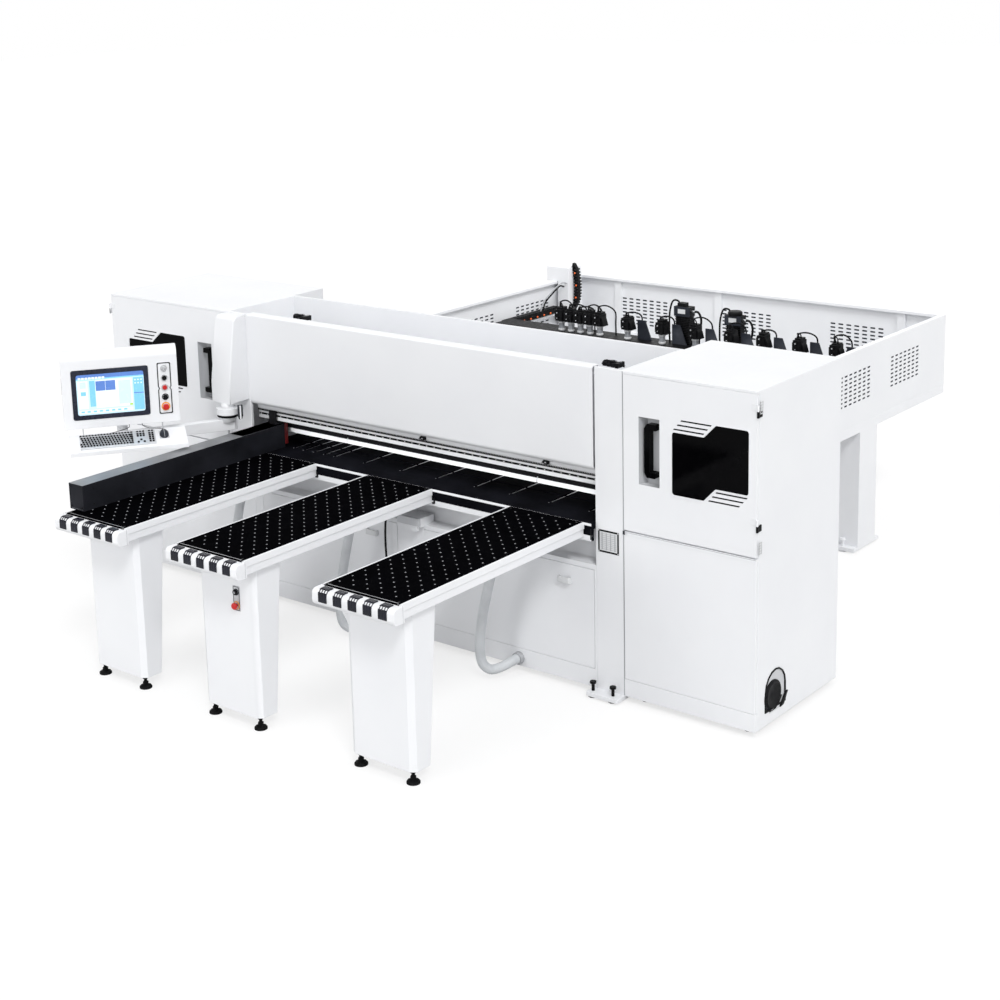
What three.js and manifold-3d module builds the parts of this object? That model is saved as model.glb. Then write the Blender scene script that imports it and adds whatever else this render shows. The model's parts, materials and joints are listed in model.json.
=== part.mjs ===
// Beam saw: a CNC panel saw with a pressure beam, three air tables in front and a gripper pusher behind.
// Millimetres. X runs along the saw line, Y from the operator's side to the back, Z up from the floor.
// X is zero at the inner edge of the right post, Y at the front faces of the posts and of the base.
import * as THREE from 'three';
import { mergeVertices } from 'three/addons/utils/BufferGeometryUtils.js';
import Module from 'manifold-3d';

const wasm = await Module();
wasm.setup();

// Driving dimensions
const bedLength = 2772;
const bedDepth = 637;
const postWidth = 190;
const bodyBottom = 37;
const bodyTop = 1953;
const plinthTop = 141;
const tableTop = 1046;
const tableThickness = 40;
const sawLine = 300;
const sawSlotWidth = 18;
const fitGap = 0.3;
const cutOverrun = 5;
const mergeTolerance = 0.001;

// Colours of the finishes
const white = new THREE.MeshStandardMaterial({ color: 0xf2f3f4, roughness: 0.45, metalness: 0.0 });
const black = new THREE.MeshStandardMaterial({ color: 0x0c0d0f, roughness: 0.35, metalness: 0.0 });
const darkSteel = new THREE.MeshStandardMaterial({ color: 0x26282b, roughness: 0.4, metalness: 0.7 });
const brightSteel = new THREE.MeshStandardMaterial({ color: 0xb9bdc1, roughness: 0.3, metalness: 0.9 });
const aluminium = new THREE.MeshStandardMaterial({ color: 0xd5d8da, roughness: 0.35, metalness: 0.8 });
const hoseGrey = new THREE.MeshStandardMaterial({ color: 0xa9adae, roughness: 0.7, metalness: 0.0 });
const red = new THREE.MeshStandardMaterial({ color: 0xc01818, roughness: 0.4, metalness: 0.0 });
const grey = new THREE.MeshStandardMaterial({ color: 0x9a9ea2, roughness: 0.4, metalness: 0.2 });
const smokedPane = new THREE.MeshStandardMaterial({ color: 0x050607, roughness: 0.08, metalness: 0.0 });

const machine = new THREE.Group();

// Closed meshes and solids

// A closed geometry becomes a solid: its shared corners are merged and its faces point out.
function toSolid(geometry) {
  const bare = geometry.clone();
  bare.deleteAttribute('normal');
  bare.deleteAttribute('uv');
  const merged = mergeVertices(bare, mergeTolerance);
  const places = merged.attributes.position;
  const corners = [];
  let volume = 0;
  const a = new THREE.Vector3();
  const b = new THREE.Vector3();
  const c = new THREE.Vector3();
  for (let i = 0; i < merged.index.count; i += 3) {
    const face = [0, 1, 2].map((k) => merged.index.getX(i + k));
    if (new Set(face).size < face.length) continue;
    corners.push(...face);
    a.fromBufferAttribute(places, face[0]);
    b.fromBufferAttribute(places, face[1]);
    c.fromBufferAttribute(places, face[2]);
    volume += a.dot(b.cross(c));
  }
  if (volume < 0) corners.reverse();
  const vertProperties = new Float32Array(places.array);
  return new wasm.Manifold(new wasm.Mesh({ numProp: 3, vertProperties, triVerts: new Uint32Array(corners) }));
}

function toGeometry(solid) {
  const mesh = solid.getMesh();
  const geometry = new THREE.BufferGeometry();
  geometry.setAttribute('position', new THREE.BufferAttribute(new Float32Array(mesh.vertProperties), 3));
  geometry.setIndex(new THREE.BufferAttribute(new Uint32Array(mesh.triVerts), 1));
  geometry.computeVertexNormals();
  return geometry;
}

function union(solids) {
  return solids.reduce((whole, next) => whole.add(next));
}

function cut(solid, tools) {
  return tools.reduce((rest, tool) => rest.subtract(tool), solid);
}

function addPart(name, solid, material, parent = machine) {
  const mesh = new THREE.Mesh(solid.isBufferGeometry ? solid : toGeometry(solid), material);
  mesh.name = name;
  parent.add(mesh);
  return mesh;
}

// Basic forms

function block(xa, xb, ya, yb, za, zb) {
  const size = [Math.abs(xb - xa), Math.abs(yb - ya), Math.abs(zb - za)];
  const geometry = new THREE.BoxGeometry(...size);
  geometry.translate((xa + xb) / 2, (ya + yb) / 2, (za + zb) / 2);
  return toSolid(geometry);
}

function outline(points) {
  return new THREE.Shape(points.map(([u, v]) => new THREE.Vector2(u, v)));
}

function extruded(points, length, holes = []) {
  const shape = outline(points);
  shape.holes = holes.map((hole) => new THREE.Path(hole.map(([u, v]) => new THREE.Vector2(u, v))));
  return new THREE.ExtrudeGeometry(shape, { depth: length, bevelEnabled: false, steps: 1 });
}

// An outline of [y, z] points pushed along X.
function alongX(points, xa, xb, holes) {
  const geometry = extruded(points, Math.abs(xb - xa), holes);
  const axes = [new THREE.Vector3(0, 1, 0), new THREE.Vector3(0, 0, 1), new THREE.Vector3(1, 0, 0)];
  geometry.applyMatrix4(new THREE.Matrix4().makeBasis(...axes).setPosition(Math.min(xa, xb), 0, 0));
  return toSolid(geometry);
}

// An outline of [x, z] points pushed along Y.
function alongY(points, ya, yb, holes) {
  const geometry = extruded(points, Math.abs(yb - ya), holes);
  const axes = [new THREE.Vector3(1, 0, 0), new THREE.Vector3(0, 0, 1), new THREE.Vector3(0, -1, 0)];
  geometry.applyMatrix4(new THREE.Matrix4().makeBasis(...axes).setPosition(0, Math.max(ya, yb), 0));
  return toSolid(geometry);
}

// An outline of [x, y] points pushed up along Z.
function alongZ(points, za, zb, holes) {
  const geometry = extruded(points, Math.abs(zb - za), holes);
  geometry.translate(0, 0, Math.min(za, zb));
  return toSolid(geometry);
}

// A profile of [radius, height] points turned about Z; it starts and ends on the axis.
function turned(profile, x, y, segments = 8) {
  const geometry = new THREE.LatheGeometry(profile.map(([r, h]) => new THREE.Vector2(r, h)), segments);
  geometry.rotateX(Math.PI / 2);
  geometry.translate(x, y, 0);
  return toSolid(geometry);
}

// The same profile about an axis along Y through [x, z]; heights run towards the back.
function turnedY(profile, x, z, segments = 12) {
  const geometry = new THREE.LatheGeometry(profile.map(([r, h]) => new THREE.Vector2(r, h)), segments);
  geometry.translate(x, 0, z);
  return toSolid(geometry);
}

// The same profile about an axis along X through [y, z]; heights run towards +X.
function turnedX(profile, y, z, segments = 12) {
  const geometry = new THREE.LatheGeometry(profile.map(([r, h]) => new THREE.Vector2(r, h)), segments);
  geometry.rotateZ(-Math.PI / 2);
  geometry.translate(0, y, z);
  return toSolid(geometry);
}

function discProfile(radius, low, high) {
  return [[0, low], [radius, low], [radius, high], [0, high]];
}

function rectangle(ua, ub, va, vb) {
  return [[ua, va], [ub, va], [ub, vb], [ua, vb]];
}

// Each corner of an outline is replaced by an arc of the given radius, limited by its shorter side.
function rounded(points, radius, arcSteps = 3) {
  const result = [];
  points.forEach((corner, i) => {
    const here = new THREE.Vector2(...corner);
    const before = new THREE.Vector2(...points[(i + points.length - 1) % points.length]).sub(here);
    const after = new THREE.Vector2(...points[(i + 1) % points.length]).sub(here);
    const room = Math.min(before.length(), after.length()) / 2;
    const angle = Math.abs(before.angle() - after.angle());
    const half = Math.min(angle, 2 * Math.PI - angle) / 2;
    const back = Math.min(radius / Math.tan(half), room);
    const start = here.clone().add(before.setLength(back));
    const end = here.clone().add(after.setLength(back));
    const centre = here.clone().add(before.add(after).setLength(back / Math.cos(half)));
    const from = start.clone().sub(centre).angle();
    let sweep = end.clone().sub(centre).angle() - from;
    if (sweep > Math.PI) sweep -= 2 * Math.PI;
    if (sweep < -Math.PI) sweep += 2 * Math.PI;
    for (let k = 0; k <= arcSteps; k += 1) {
      const turn = from + (sweep * k) / arcSteps;
      const reach = start.distanceTo(centre);
      result.push([centre.x + reach * Math.cos(turn), centre.y + reach * Math.sin(turn)]);
    }
  });
  return result;
}

// An outline moved outwards on every side; its points run anticlockwise.
function grown(points, distance) {
  const count = points.length;
  return points.map((corner, i) => {
    const before = points[(i + count - 1) % count];
    const after = points[(i + 1) % count];
    const inDirection = new THREE.Vector2(corner[0] - before[0], corner[1] - before[1]).normalize();
    const outDirection = new THREE.Vector2(after[0] - corner[0], after[1] - corner[1]).normalize();
    const inNormal = new THREE.Vector2(inDirection.y, -inDirection.x);
    const outNormal = new THREE.Vector2(outDirection.y, -outDirection.x);
    const along = inNormal.clone().add(outNormal);
    along.multiplyScalar(distance / (1 + inNormal.dot(outNormal)));
    return [corner[0] + along.x, corner[1] + along.y];
  });
}

// Points of an arc about [u, v], from one angle to another in degrees.
function arc(u, v, radius, fromDegrees, toDegrees, steps) {
  const points = [];
  for (let k = 0; k <= steps; k += 1) {
    const angle = THREE.MathUtils.degToRad(fromDegrees + ((toDegrees - fromDegrees) * k) / steps);
    points.push([u + radius * Math.cos(angle), v + radius * Math.sin(angle)]);
  }
  return points;
}

// Levelling feet

const padRadius = 30;
const padHeight = 14;
const padShoulderRadius = 14;
const padShoulderHeight = 24;
const studRadius = 10;
const boltHeadRadius = 20;
const boltHeadHeight = 15;
const boltRise = 58;

// A pad on the floor with its stud, reaching up to the given height.
function levellingFoot(x, y, top, radius = padRadius) {
  const profile = [
    [0, 0],
    [radius, 0],
    [radius, padHeight],
    [padShoulderRadius, padShoulderHeight],
    [studRadius, padShoulderHeight],
    [studRadius, top],
    [0, top],
  ];
  return turned(profile, x, y);
}

// A levelling bolt through a foot plate, with its head above the plate.
function levellingBolt(x, y, plateTop) {
  const headTop = plateTop + boltRise;
  const foot = levellingFoot(x, y, headTop);
  return foot.add(turned(discProfile(boltHeadRadius, headTop - boltHeadHeight, headTop), x, y));
}

// Posts: channels open towards the bed, each on two foot plates with levelling bolts

const postSheet = 20;
const footPlateReach = 80;
const footPlateInset = 60;
const footPlatePast = 30;
const footPlateThickness = 25;
const footPlateCorner = 15;
const footBoltSetback = 40;
const footBoltIn = 2;
const footBoltOut = 136;
const guideBarWidth = 40;
const guideBarDepth = 30;
const guideBarBottom = 1120;
const guideBarTop = 1500;

function postEdge(side) {
  return side > 0 ? 0 : -bedLength;
}

function footPlate(at, front, back, boltLine) {
  const plate = rounded(rectangle(at(-footPlatePast), at(postWidth), front, back), footPlateCorner, 2);
  const bottom = bodyBottom - footPlateThickness;
  const rootBack = back > bedDepth ? bedDepth : back;
  const root = block(at(postWidth - postSheet), at(postWidth), Math.max(front, 0), rootBack,
    bodyBottom - footPlateThickness / 2, bodyBottom + cutOverrun);
  return union([
    alongZ(plate, bottom, bodyBottom - fitGap),
    root,
    levellingBolt(at(-footBoltIn), boltLine, bodyBottom),
    levellingBolt(at(footBoltOut), boltLine, bodyBottom),
  ]);
}

function post(side) {
  const at = (u) => postEdge(side) + side * u;
  const rear = bedDepth - postSheet;
  const guideBack = postWidth - postSheet;
  const rearBoltLine = bedDepth + footBoltSetback;
  const walls = union([
    block(at(0), at(postWidth), 0, postSheet, bodyBottom - fitGap, bodyTop),
    block(at(guideBack), at(postWidth), 0, bedDepth, bodyBottom - fitGap, bodyTop),
    block(at(0), at(postWidth), rear, bedDepth, bodyBottom - fitGap, bodyTop),
  ]);
  const guideFront = sawLine - guideBarWidth / 2;
  return union([
    walls,
    footPlate(at, -footPlateReach, footPlateInset, -footBoltSetback),
    footPlate(at, bedDepth - footPlateInset, bedDepth + footPlateReach, rearBoltLine),
    block(at(guideBack - guideBarDepth), at(guideBack), guideFront, guideFront + guideBarWidth,
      guideBarBottom, guideBarTop),
  ]);
}

// Base frame: a welded trough between the posts, with a step under the table and two open panels

const baseSheet = 20;
const ledgeHeight = 786;
const ledgeDepth = 110;
const bedEnd = fitGap;
const baseTop = tableTop - tableThickness - fitGap;
const carriageRailSize = 20;
const lowerRailHeight = 620;
const upperRailHeight = 860;
const panelBottom = 150;
const panelTop = 756;
const panelThickness = 10;
const panelLip = 25;
const panelClearance = 3;
const bedMiddle = bedLength / 2;
const rightPanelPastMiddle = 90;
const rightPanelStart = bedMiddle - rightPanelPastMiddle;
const rightPanelEnd = 14;
const leftPanelInset = 72;
const leftPanelPastMiddle = 126;
const leftPanelStart = bedLength - leftPanelInset;
const leftPanelEnd = bedMiddle + leftPanelPastMiddle;
const hoseRadius = 30;
const hoseCollarRadius = 38;
const hoseCollarLength = 30;
const hoseCollarHeight = 90;
const hoseBoreRadius = 24;
const terminalBoxLeft = 70;
const terminalBoxRight = 102;
const terminalBoxReach = 40;
const terminalBoxBack = 90;
const terminalBoxHeight = 48;

// The air tables stand at these distances from the right post, and each has its hose collar on the plinth.
const firstTableInset = 354;
const secondTablePastMiddle = 60;
const thirdTableInset = 318;
const tableCentres = [bedLength - firstTableInset, bedMiddle + secondTablePastMiddle, thirdTableInset];
const collarOffset = -248;

function baseProfile() {
  const innerStep = ledgeDepth + baseSheet;
  const underLedge = ledgeHeight - baseSheet;
  return [
    [0, bodyBottom],
    [bedDepth, bodyBottom],
    [bedDepth, baseTop],
    [bedDepth - baseSheet, baseTop],
    [bedDepth - baseSheet, bodyBottom + baseSheet],
    [baseSheet, bodyBottom + baseSheet],
    [baseSheet, underLedge],
    [innerStep, underLedge],
    [innerStep, baseTop],
    [ledgeDepth, baseTop],
    [ledgeDepth, ledgeHeight],
    [0, ledgeHeight],
  ];
}

function panelSeat(start, end) {
  const outer = block(-start, -end, -cutOverrun, panelThickness + fitGap, panelBottom, panelTop);
  const inner = block(-start + panelLip, -end - panelLip, -cutOverrun, baseSheet + cutOverrun,
    panelBottom + panelLip, panelTop - panelLip);
  return outer.add(inner);
}

function carriageRail(height) {
  const back = bedDepth - baseSheet;
  return block(-bedLength + bedEnd, -bedEnd, back - carriageRailSize, back + cutOverrun,
    height - carriageRailSize / 2, height + carriageRailSize / 2);
}

function collarPlace(index) {
  return -tableCentres[index] + collarOffset;
}

function hoseCollar(index) {
  const ring = discProfile(hoseCollarRadius, -hoseCollarLength, baseSheet / 2);
  return turnedY(ring, collarPlace(index), hoseCollarHeight);
}

function hoseHole(index) {
  const bore = discProfile(hoseBoreRadius, -hoseCollarLength - cutOverrun, baseSheet + cutOverrun);
  return turnedY(bore, collarPlace(index), hoseCollarHeight);
}

function baseFrame() {
  const trough = alongX(baseProfile(), -bedLength + bedEnd, -bedEnd);
  const terminalBox = block(-bedMiddle - terminalBoxLeft, -bedMiddle + terminalBoxRight,
    -terminalBoxReach, terminalBoxBack, ledgeHeight - baseSheet / 2, ledgeHeight + terminalBoxHeight);
  const indexes = tableCentres.map((centre, index) => index);
  const whole = union([
    trough,
    carriageRail(lowerRailHeight),
    carriageRail(upperRailHeight),
    terminalBox,
    ...indexes.map(hoseCollar),
  ]);
  return cut(whole, [
    panelSeat(leftPanelStart, leftPanelEnd),
    panelSeat(rightPanelStart, rightPanelEnd),
    ...indexes.map(hoseHole),
  ]);
}

// Lift-off panels of the base, each with a small bridge handle

const bridgeLength = 90;
const bridgeHeight = 35;
const bridgeReach = 28;
const bridgeBar = 10;
const bridgeFromTop = 95;
const bridgeFromEnd = 202;

function basePanel(start, end) {
  const xa = -start + panelClearance;
  const xb = -end - panelClearance;
  const plate = block(xa, xb, 0, panelThickness, panelBottom + panelClearance, panelTop - panelClearance);
  const handleX = xb - bridgeFromEnd;
  const handleZ = panelTop - bridgeFromTop;
  const [left, right] = [handleX - bridgeLength / 2, handleX + bridgeLength / 2];
  const bridge = rounded(rectangle(left, right, -bridgeReach, bridgeBar / 2), bridgeBar, 2);
  const handle = alongZ(bridge, handleZ - bridgeHeight / 2, handleZ + bridgeHeight / 2);
  const finger = block(left + bridgeBar, right - bridgeBar,
    -bridgeReach + bridgeBar, 0, handleZ - bridgeHeight, handleZ + bridgeHeight);
  return plate.add(cut(handle, [finger]));
}

// Girder of the pressure beam: an open trough between the posts, with the aligner rail below its front wall

const coverDepth = 45;
const girderSheet = 20;
const girderFrontDrop = 53;
const girderWallTop = bodyTop - girderFrontDrop;
const girderWallBottom = 1340;
const girderFloorShare = 0.3915;
const girderFloor = girderWallBottom + (bodyTop - girderWallBottom) * girderFloorShare;
const girderRearBottom = 1160;
const railTop = 1310;
const railGrooveTop = 1277;
const railGrooveBottom = 1265;
const railBottom = 1240;
const railFront = 70;
const railBack = 140;
const railStep = 8;

function girderProfile() {
  const front = coverDepth + fitGap;
  const inner = front + girderSheet;
  const rearInner = bedDepth - girderSheet;
  return [
    [front, girderWallBottom],
    [railFront - railStep, girderWallBottom],
    [railFront - railStep, railTop],
    [railFront, railTop],
    [railFront, railGrooveTop],
    [railFront + railStep, railGrooveTop],
    [railFront + railStep, railGrooveBottom],
    [railFront, railGrooveBottom],
    [railFront, railBottom],
    [railBack, railBottom],
    [railBack, girderWallBottom + girderSheet],
    [inner, girderWallBottom + girderSheet],
    [inner, girderFloor - girderSheet],
    [rearInner, girderFloor - girderSheet],
    [rearInner, girderRearBottom],
    [bedDepth, girderRearBottom],
    [bedDepth, bodyTop],
    [rearInner, bodyTop],
    [rearInner, girderFloor],
    [inner, girderFloor],
    [inner, girderWallTop],
    [front, girderWallTop],
  ];
}

function beamGirder() {
  return alongX(girderProfile(), -bedLength + bedEnd, -bedEnd);
}

// Front cover of the beam: folded sheet with a rolled top hem and a curved-in bottom edge

const coverSheet = 6;
const coverBottom = 1345;
const coverRoll = 30;
const coverEndGap = 14;
const coverHem = 14;

function beamCover() {
  const back = coverDepth + girderSheet;
  const bend = coverBottom + coverRoll;
  const topBend = bodyTop - coverHem;
  const hemBottom = girderWallTop + fitGap;
  const points = [
    [back, bodyTop],
    ...arc(coverHem, topBend, coverHem, 90, 180, 3),
    ...arc(coverRoll, bend, coverRoll, 180, 270, 3),
    [coverDepth, coverBottom],
    [coverDepth, coverBottom + coverSheet],
    ...arc(coverRoll, bend, coverRoll - coverSheet, 270, 180, 3),
    ...arc(coverHem, topBend, coverHem - coverSheet, 180, 90, 3),
    [back - coverSheet, bodyTop - coverSheet],
    [back - coverSheet, hemBottom],
    [back, hemBottom],
  ];
  return alongX(points, -bedLength + bedEnd, -coverEndGap);
}

// Main table in front of the saw line, with its rail, and the rear table behind the line

const tableFront = -43;
const railRecess = 7;
const railLipBottom = 1030;
const railLedgeTop = 972;
const railLedgeBottom = 940;
const railWebBack = -16;
const slotWidth = 16;
const slotDepth = 25;
const slotFront = 145;
const rearTableBack = 900;

// The pusher's fingers run in these slots: seven set apart, then a close set by the fence.
const apartSlotShares = [0.053, 0.1577, 0.2633, 0.3608, 0.4715, 0.5772, 0.6898];
const closeSlotInset = 235;
const closeSlotPitch = 91;
const closeSlotCount = 5;

function slotLines() {
  const apart = apartSlotShares.map((share) => bedLength * share);
  const close = [];
  for (let k = closeSlotCount - 1; k >= 0; k -= 1) {
    close.push(bedLength - closeSlotInset - closeSlotPitch * k);
  }
  return [...apart, ...close];
}

const slotPlaces = slotLines();

function fingerSlots(front, back) {
  return slotPlaces.map((place) => block(-place - slotWidth / 2, -place + slotWidth / 2, front, back,
    tableTop - slotDepth, tableTop + cutOverrun));
}

function mainTable() {
  const back = sawLine - sawSlotWidth / 2;
  const underside = tableTop - tableThickness;
  const points = [
    [tableFront, railLedgeBottom],
    [railWebBack, railLedgeBottom],
    [railWebBack, underside],
    [back, underside],
    [back, tableTop],
    [tableFront, tableTop],
    [tableFront, railLipBottom],
    [tableFront + railRecess, railLipBottom],
    [tableFront + railRecess, railLedgeTop],
    [tableFront, railLedgeTop],
  ];
  const slab = alongX(points, -bedLength + bedEnd, -bedEnd);
  return cut(slab, fingerSlots(slotFront, back + cutOverrun));
}

function rearTable() {
  const front = sawLine + sawSlotWidth / 2;
  const slab = block(-bedLength + bedEnd, -bedEnd, front, rearTableBack,
    tableTop - tableThickness, tableTop);
  return cut(slab, fingerSlots(front - cutOverrun, rearTableBack + cutOverrun));
}

// Cabinets beside the posts: sheet shells with a shelf, a lower panel and a hinged upper door

const cabinetSheet = 10;
const doorDepth = 20;
const doorSkin = 3;
const doorInset = 2.5;
const doorBottom = 1036;
const doorHeadGap = 17;
const doorTop = bodyTop - doorHeadGap;
const doorHeight = doorTop - doorBottom;
const shelfTop = 1033;
const openingMargin = 35;
const cabinetFootInset = 90;
const lowerPanelTop = 1027;
const lowerPanelBottom = 143;

const rightCabinet = {
  side: 1,
  width: 851,
  depth: 935,
  windowPlace: 560,
  windowWidth: 478,
  pocketPlace: 102,
};
const leftCabinet = {
  side: -1,
  width: 1172,
  depth: 930,
  windowPlace: 711,
  windowWidth: 580,
  pocketPlace: 160,
};

// Places in a cabinet are measured outwards from the side beside its post.
function cabinetAt(cabinet, u) {
  return postEdge(cabinet.side) + cabinet.side * (postWidth + fitGap + u);
}

function cabinetSpan(cabinet, inset) {
  const ends = [cabinetAt(cabinet, inset), cabinetAt(cabinet, cabinet.width - inset)];
  return ends.sort((a, b) => a - b);
}

const lowerHingeRise = 181;
const upperHingeDrop = 91;
const hingeHeights = [doorBottom + lowerHingeRise, doorTop - upperHingeDrop];
const hingeLength = 70;
const hingeRadius = 7;
const hingeOut = 4;
const hingeSetback = 5;
const hingeLeaf = 3;

function hingeAxis(cabinet) {
  return [cabinetAt(cabinet, cabinet.width + hingeOut), -hingeSetback];
}

// The upper knuckle of each hinge belongs to the door, the lower one to the cabinet.
function hingeKnuckle(cabinet, low, high) {
  const [x, y] = hingeAxis(cabinet);
  return turned(discProfile(hingeRadius, low, high), x, y);
}

function cabinetHinge(cabinet, height) {
  const [x] = hingeAxis(cabinet);
  const side = cabinet.side;
  const wall = cabinetAt(cabinet, cabinet.width);
  const low = height - hingeLength / 2;
  const high = height - fitGap / 2;
  const leaf = block(x - side * hingeLeaf / 2, x + side * hingeLeaf,
    -hingeSetback, doorDepth * 2, low, high);
  const root = block(wall - side * cabinetSheet / 2, x + side * hingeLeaf,
    doorDepth + hingeSetback, doorDepth * 2, low, high);
  return union([hingeKnuckle(cabinet, low, high), leaf, root]);
}

function doorHinge(cabinet, height) {
  const [x] = hingeAxis(cabinet);
  const low = height + fitGap / 2;
  const high = height + hingeLength / 2;
  const leafEnd = cabinetAt(cabinet, cabinet.width - hingeLength / 2);
  const leaf = block(leafEnd, x, -hingeLeaf, hingeLeaf / 2, low, high);
  return hingeKnuckle(cabinet, low, high).add(leaf);
}

function cabinetShell(cabinet) {
  const [xa, xb] = cabinetSpan(cabinet, 0);
  const [ia, ib] = cabinetSpan(cabinet, cabinetSheet);
  const [oa, ob] = cabinetSpan(cabinet, openingMargin);
  const face = doorDepth + fitGap;
  const inside = face + cabinetSheet;
  const back = cabinet.depth - cabinetSheet;
  const shelfBottom = shelfTop - cabinetSheet * 2;
  const recessTop = doorTop + fitGap * 2;
  const pad = discProfile(padRadius, 0, bodyBottom + cabinetSheet / 2);
  const feet = [footInsetAt(cabinet, 0), footInsetAt(cabinet, 1)].flatMap((x) => [
    turned(pad, x, cabinetFootInset),
    turned(pad, x, cabinet.depth - cabinetFootInset),
  ]);
  const shell = cut(block(xa, xb, 0, cabinet.depth, bodyBottom, bodyTop), [
    block(xa - cutOverrun, xb + cutOverrun, -cutOverrun, face, plinthTop, recessTop),
    block(ia, ib, inside, back, bodyBottom + cabinetSheet, shelfBottom),
    block(ia, ib, inside, back, shelfTop, bodyTop - cabinetSheet),
    block(oa, ob, -cutOverrun, inside + cutOverrun, plinthTop + openingMargin, shelfBottom - openingMargin),
    block(oa, ob, -cutOverrun, inside + cutOverrun, shelfTop + openingMargin, doorTop - openingMargin),
  ]);
  const hinges = hingeHeights.map((height) => cabinetHinge(cabinet, height));
  return union([shell, ...feet, ...hinges]);
}

function footInsetAt(cabinet, end) {
  return cabinetAt(cabinet, end ? cabinet.width - cabinetFootInset : cabinetFootInset);
}

function lowerPanel(cabinet) {
  const [xa, xb] = cabinetSpan(cabinet, doorInset);
  return block(xa, xb, 0, doorDepth, lowerPanelBottom, lowerPanelTop);
}

// The window is an outline of two overlapping rectangles, point-symmetric about its centre.
const windowHeightShare = 0.48;
const windowHeight = doorHeight * windowHeightShare;
const windowMiddleShare = 0.531;
const windowMiddle = doorBottom + doorHeight * windowMiddleShare;
const windowStep = 77;
const windowLowShare = 0.42;
const windowRunShare = 0.155;
const windowCorner = 14;
const windowTrim = 7;
const windowTrimRise = 3;
const barLength = 192;
const barHeight = 9;
const barSlant = 7;
const barPitch = 26.5;
const barShift = 23;
const barGap = 20;
const paneThickness = 5;
const paneMargin = 22;
const barCountPerSet = 3;

function windowOutline(cabinet, grow = 0) {
  const half = cabinet.windowWidth / 2;
  const low = half - cabinet.windowWidth * windowLowShare;
  const run = cabinet.windowWidth * windowRunShare;
  const tall = windowHeight / 2;
  const lower = [
    [-half, -tall],
    [-low, -tall],
    [-low + run, -tall + windowStep],
    [half, -tall + windowStep],
  ];
  const upper = lower.map(([u, v]) => [-u, -v]);
  return grown([...lower, ...upper], grow);
}

function placedWindow(cabinet, points) {
  const centre = cabinetAt(cabinet, cabinet.windowPlace);
  return points.map(([u, v]) => [centre + u, windowMiddle + v]);
}

// Slanted bars step down along the window's slanted edge, and again turned half round below it.
function windowBars(cabinet) {
  const half = cabinet.windowWidth / 2;
  const low = half - cabinet.windowWidth * windowLowShare;
  const bars = [];
  for (let k = 0; k < barCountPerSet; k += 1) {
    const right = -low + barGap + barShift * (k - 1);
    const bottom = windowHeight / 2 - windowStep + barPitch * (k + 1 / 2);
    const bar = [
      [right - barLength, bottom],
      [right, bottom],
      [right + barSlant, bottom + barHeight],
      [right - barLength + barSlant, bottom + barHeight],
    ];
    bars.push(bar, bar.map(([u, v]) => [-u, -v]));
  }
  return bars;
}

// The handle sits in a pocket pressed into the door: a pan with sloping sides and a bowed bar.
const pocketWidth = 140;
const pocketTopShare = 0.747;
const pocketBottomShare = 0.316;
const pocketTop = doorBottom + doorHeight * pocketTopShare;
const pocketBottom = doorBottom + doorHeight * pocketBottomShare;
const pocketDepth = 60;
const pocketSlope = 26;
const pocketSheet = 4;
const gripWidth = 34;
const gripDepth = 20;
const gripMargin = 40;
const gripBow = 26;
const gripSink = 16;

function pocketForm(cabinet, grow, front, back, slope) {
  const near = cabinetAt(cabinet, cabinet.pocketPlace - grow);
  const far = cabinetAt(cabinet, cabinet.pocketPlace + pocketWidth + grow);
  const [xa, xb] = [near, far].sort((a, b) => a - b);
  const points = [
    [xa, front],
    [xb, front],
    [xb - slope, back],
    [xa + slope, back],
  ];
  return alongZ(points, pocketBottom - grow, pocketTop + grow);
}

function gripBar(cabinet) {
  const middle = cabinetAt(cabinet, cabinet.pocketPlace + pocketWidth / 2);
  const low = pocketBottom + gripMargin;
  const high = pocketTop - gripMargin;
  const inward = -cabinet.side;
  const bow = middle + inward * gripBow;
  const outer = [
    [middle - inward * gripWidth, low],
    [bow, low],
    [bow + inward * gripWidth / 2, low + gripBow],
    [bow + inward * gripWidth / 2, high - gripBow],
    [bow, high],
    [middle - inward * gripWidth, high],
  ];
  const grip = alongY(rounded(outer, gripDepth / 2, 2), gripSink, pocketDepth);
  const handSides = [middle - inward * pocketWidth / 2, bow - inward * gripWidth / 2];
  const [ha, hb] = handSides.sort((a, b) => a - b);
  const hand = block(ha, hb, -cutOverrun, pocketDepth + cutOverrun, low + gripWidth, high - gripWidth);
  return cut(grip, [hand]);
}

function upperDoor(cabinet) {
  const [xa, xb] = cabinetSpan(cabinet, doorInset);
  const pan = cut(block(xa, xb, 0, doorDepth, doorBottom, doorTop), [
    block(xa + doorSkin, xb - doorSkin, doorSkin, doorDepth + cutOverrun,
      doorBottom + doorSkin, doorTop - doorSkin),
  ]);
  const pocketBack = pocketDepth + pocketSheet;
  const trimOutline = placedWindow(cabinet, windowOutline(cabinet, windowTrim));
  const trim = rounded(trimOutline, windowCorner + windowTrim, 2);
  const solid = union([
    pan,
    pocketForm(cabinet, pocketSheet, 0, pocketBack, pocketSlope),
    alongY(trim, -windowTrimRise, doorSkin),
    ...hingeHeights.map((height) => doorHinge(cabinet, height)),
  ]);
  const glass = rounded(placedWindow(cabinet, windowOutline(cabinet)), windowCorner, 2);
  const bars = windowBars(cabinet).map((bar) => placedWindow(cabinet, bar));
  const open = cut(solid, [
    pocketForm(cabinet, 0, -cutOverrun, pocketDepth, pocketSlope),
    alongY(glass, -windowTrimRise - cutOverrun, doorSkin + cutOverrun),
    ...bars.map((bar) => alongY(bar, -cutOverrun, doorSkin + cutOverrun)),
  ]);
  return open.add(gripBar(cabinet));
}

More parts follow.
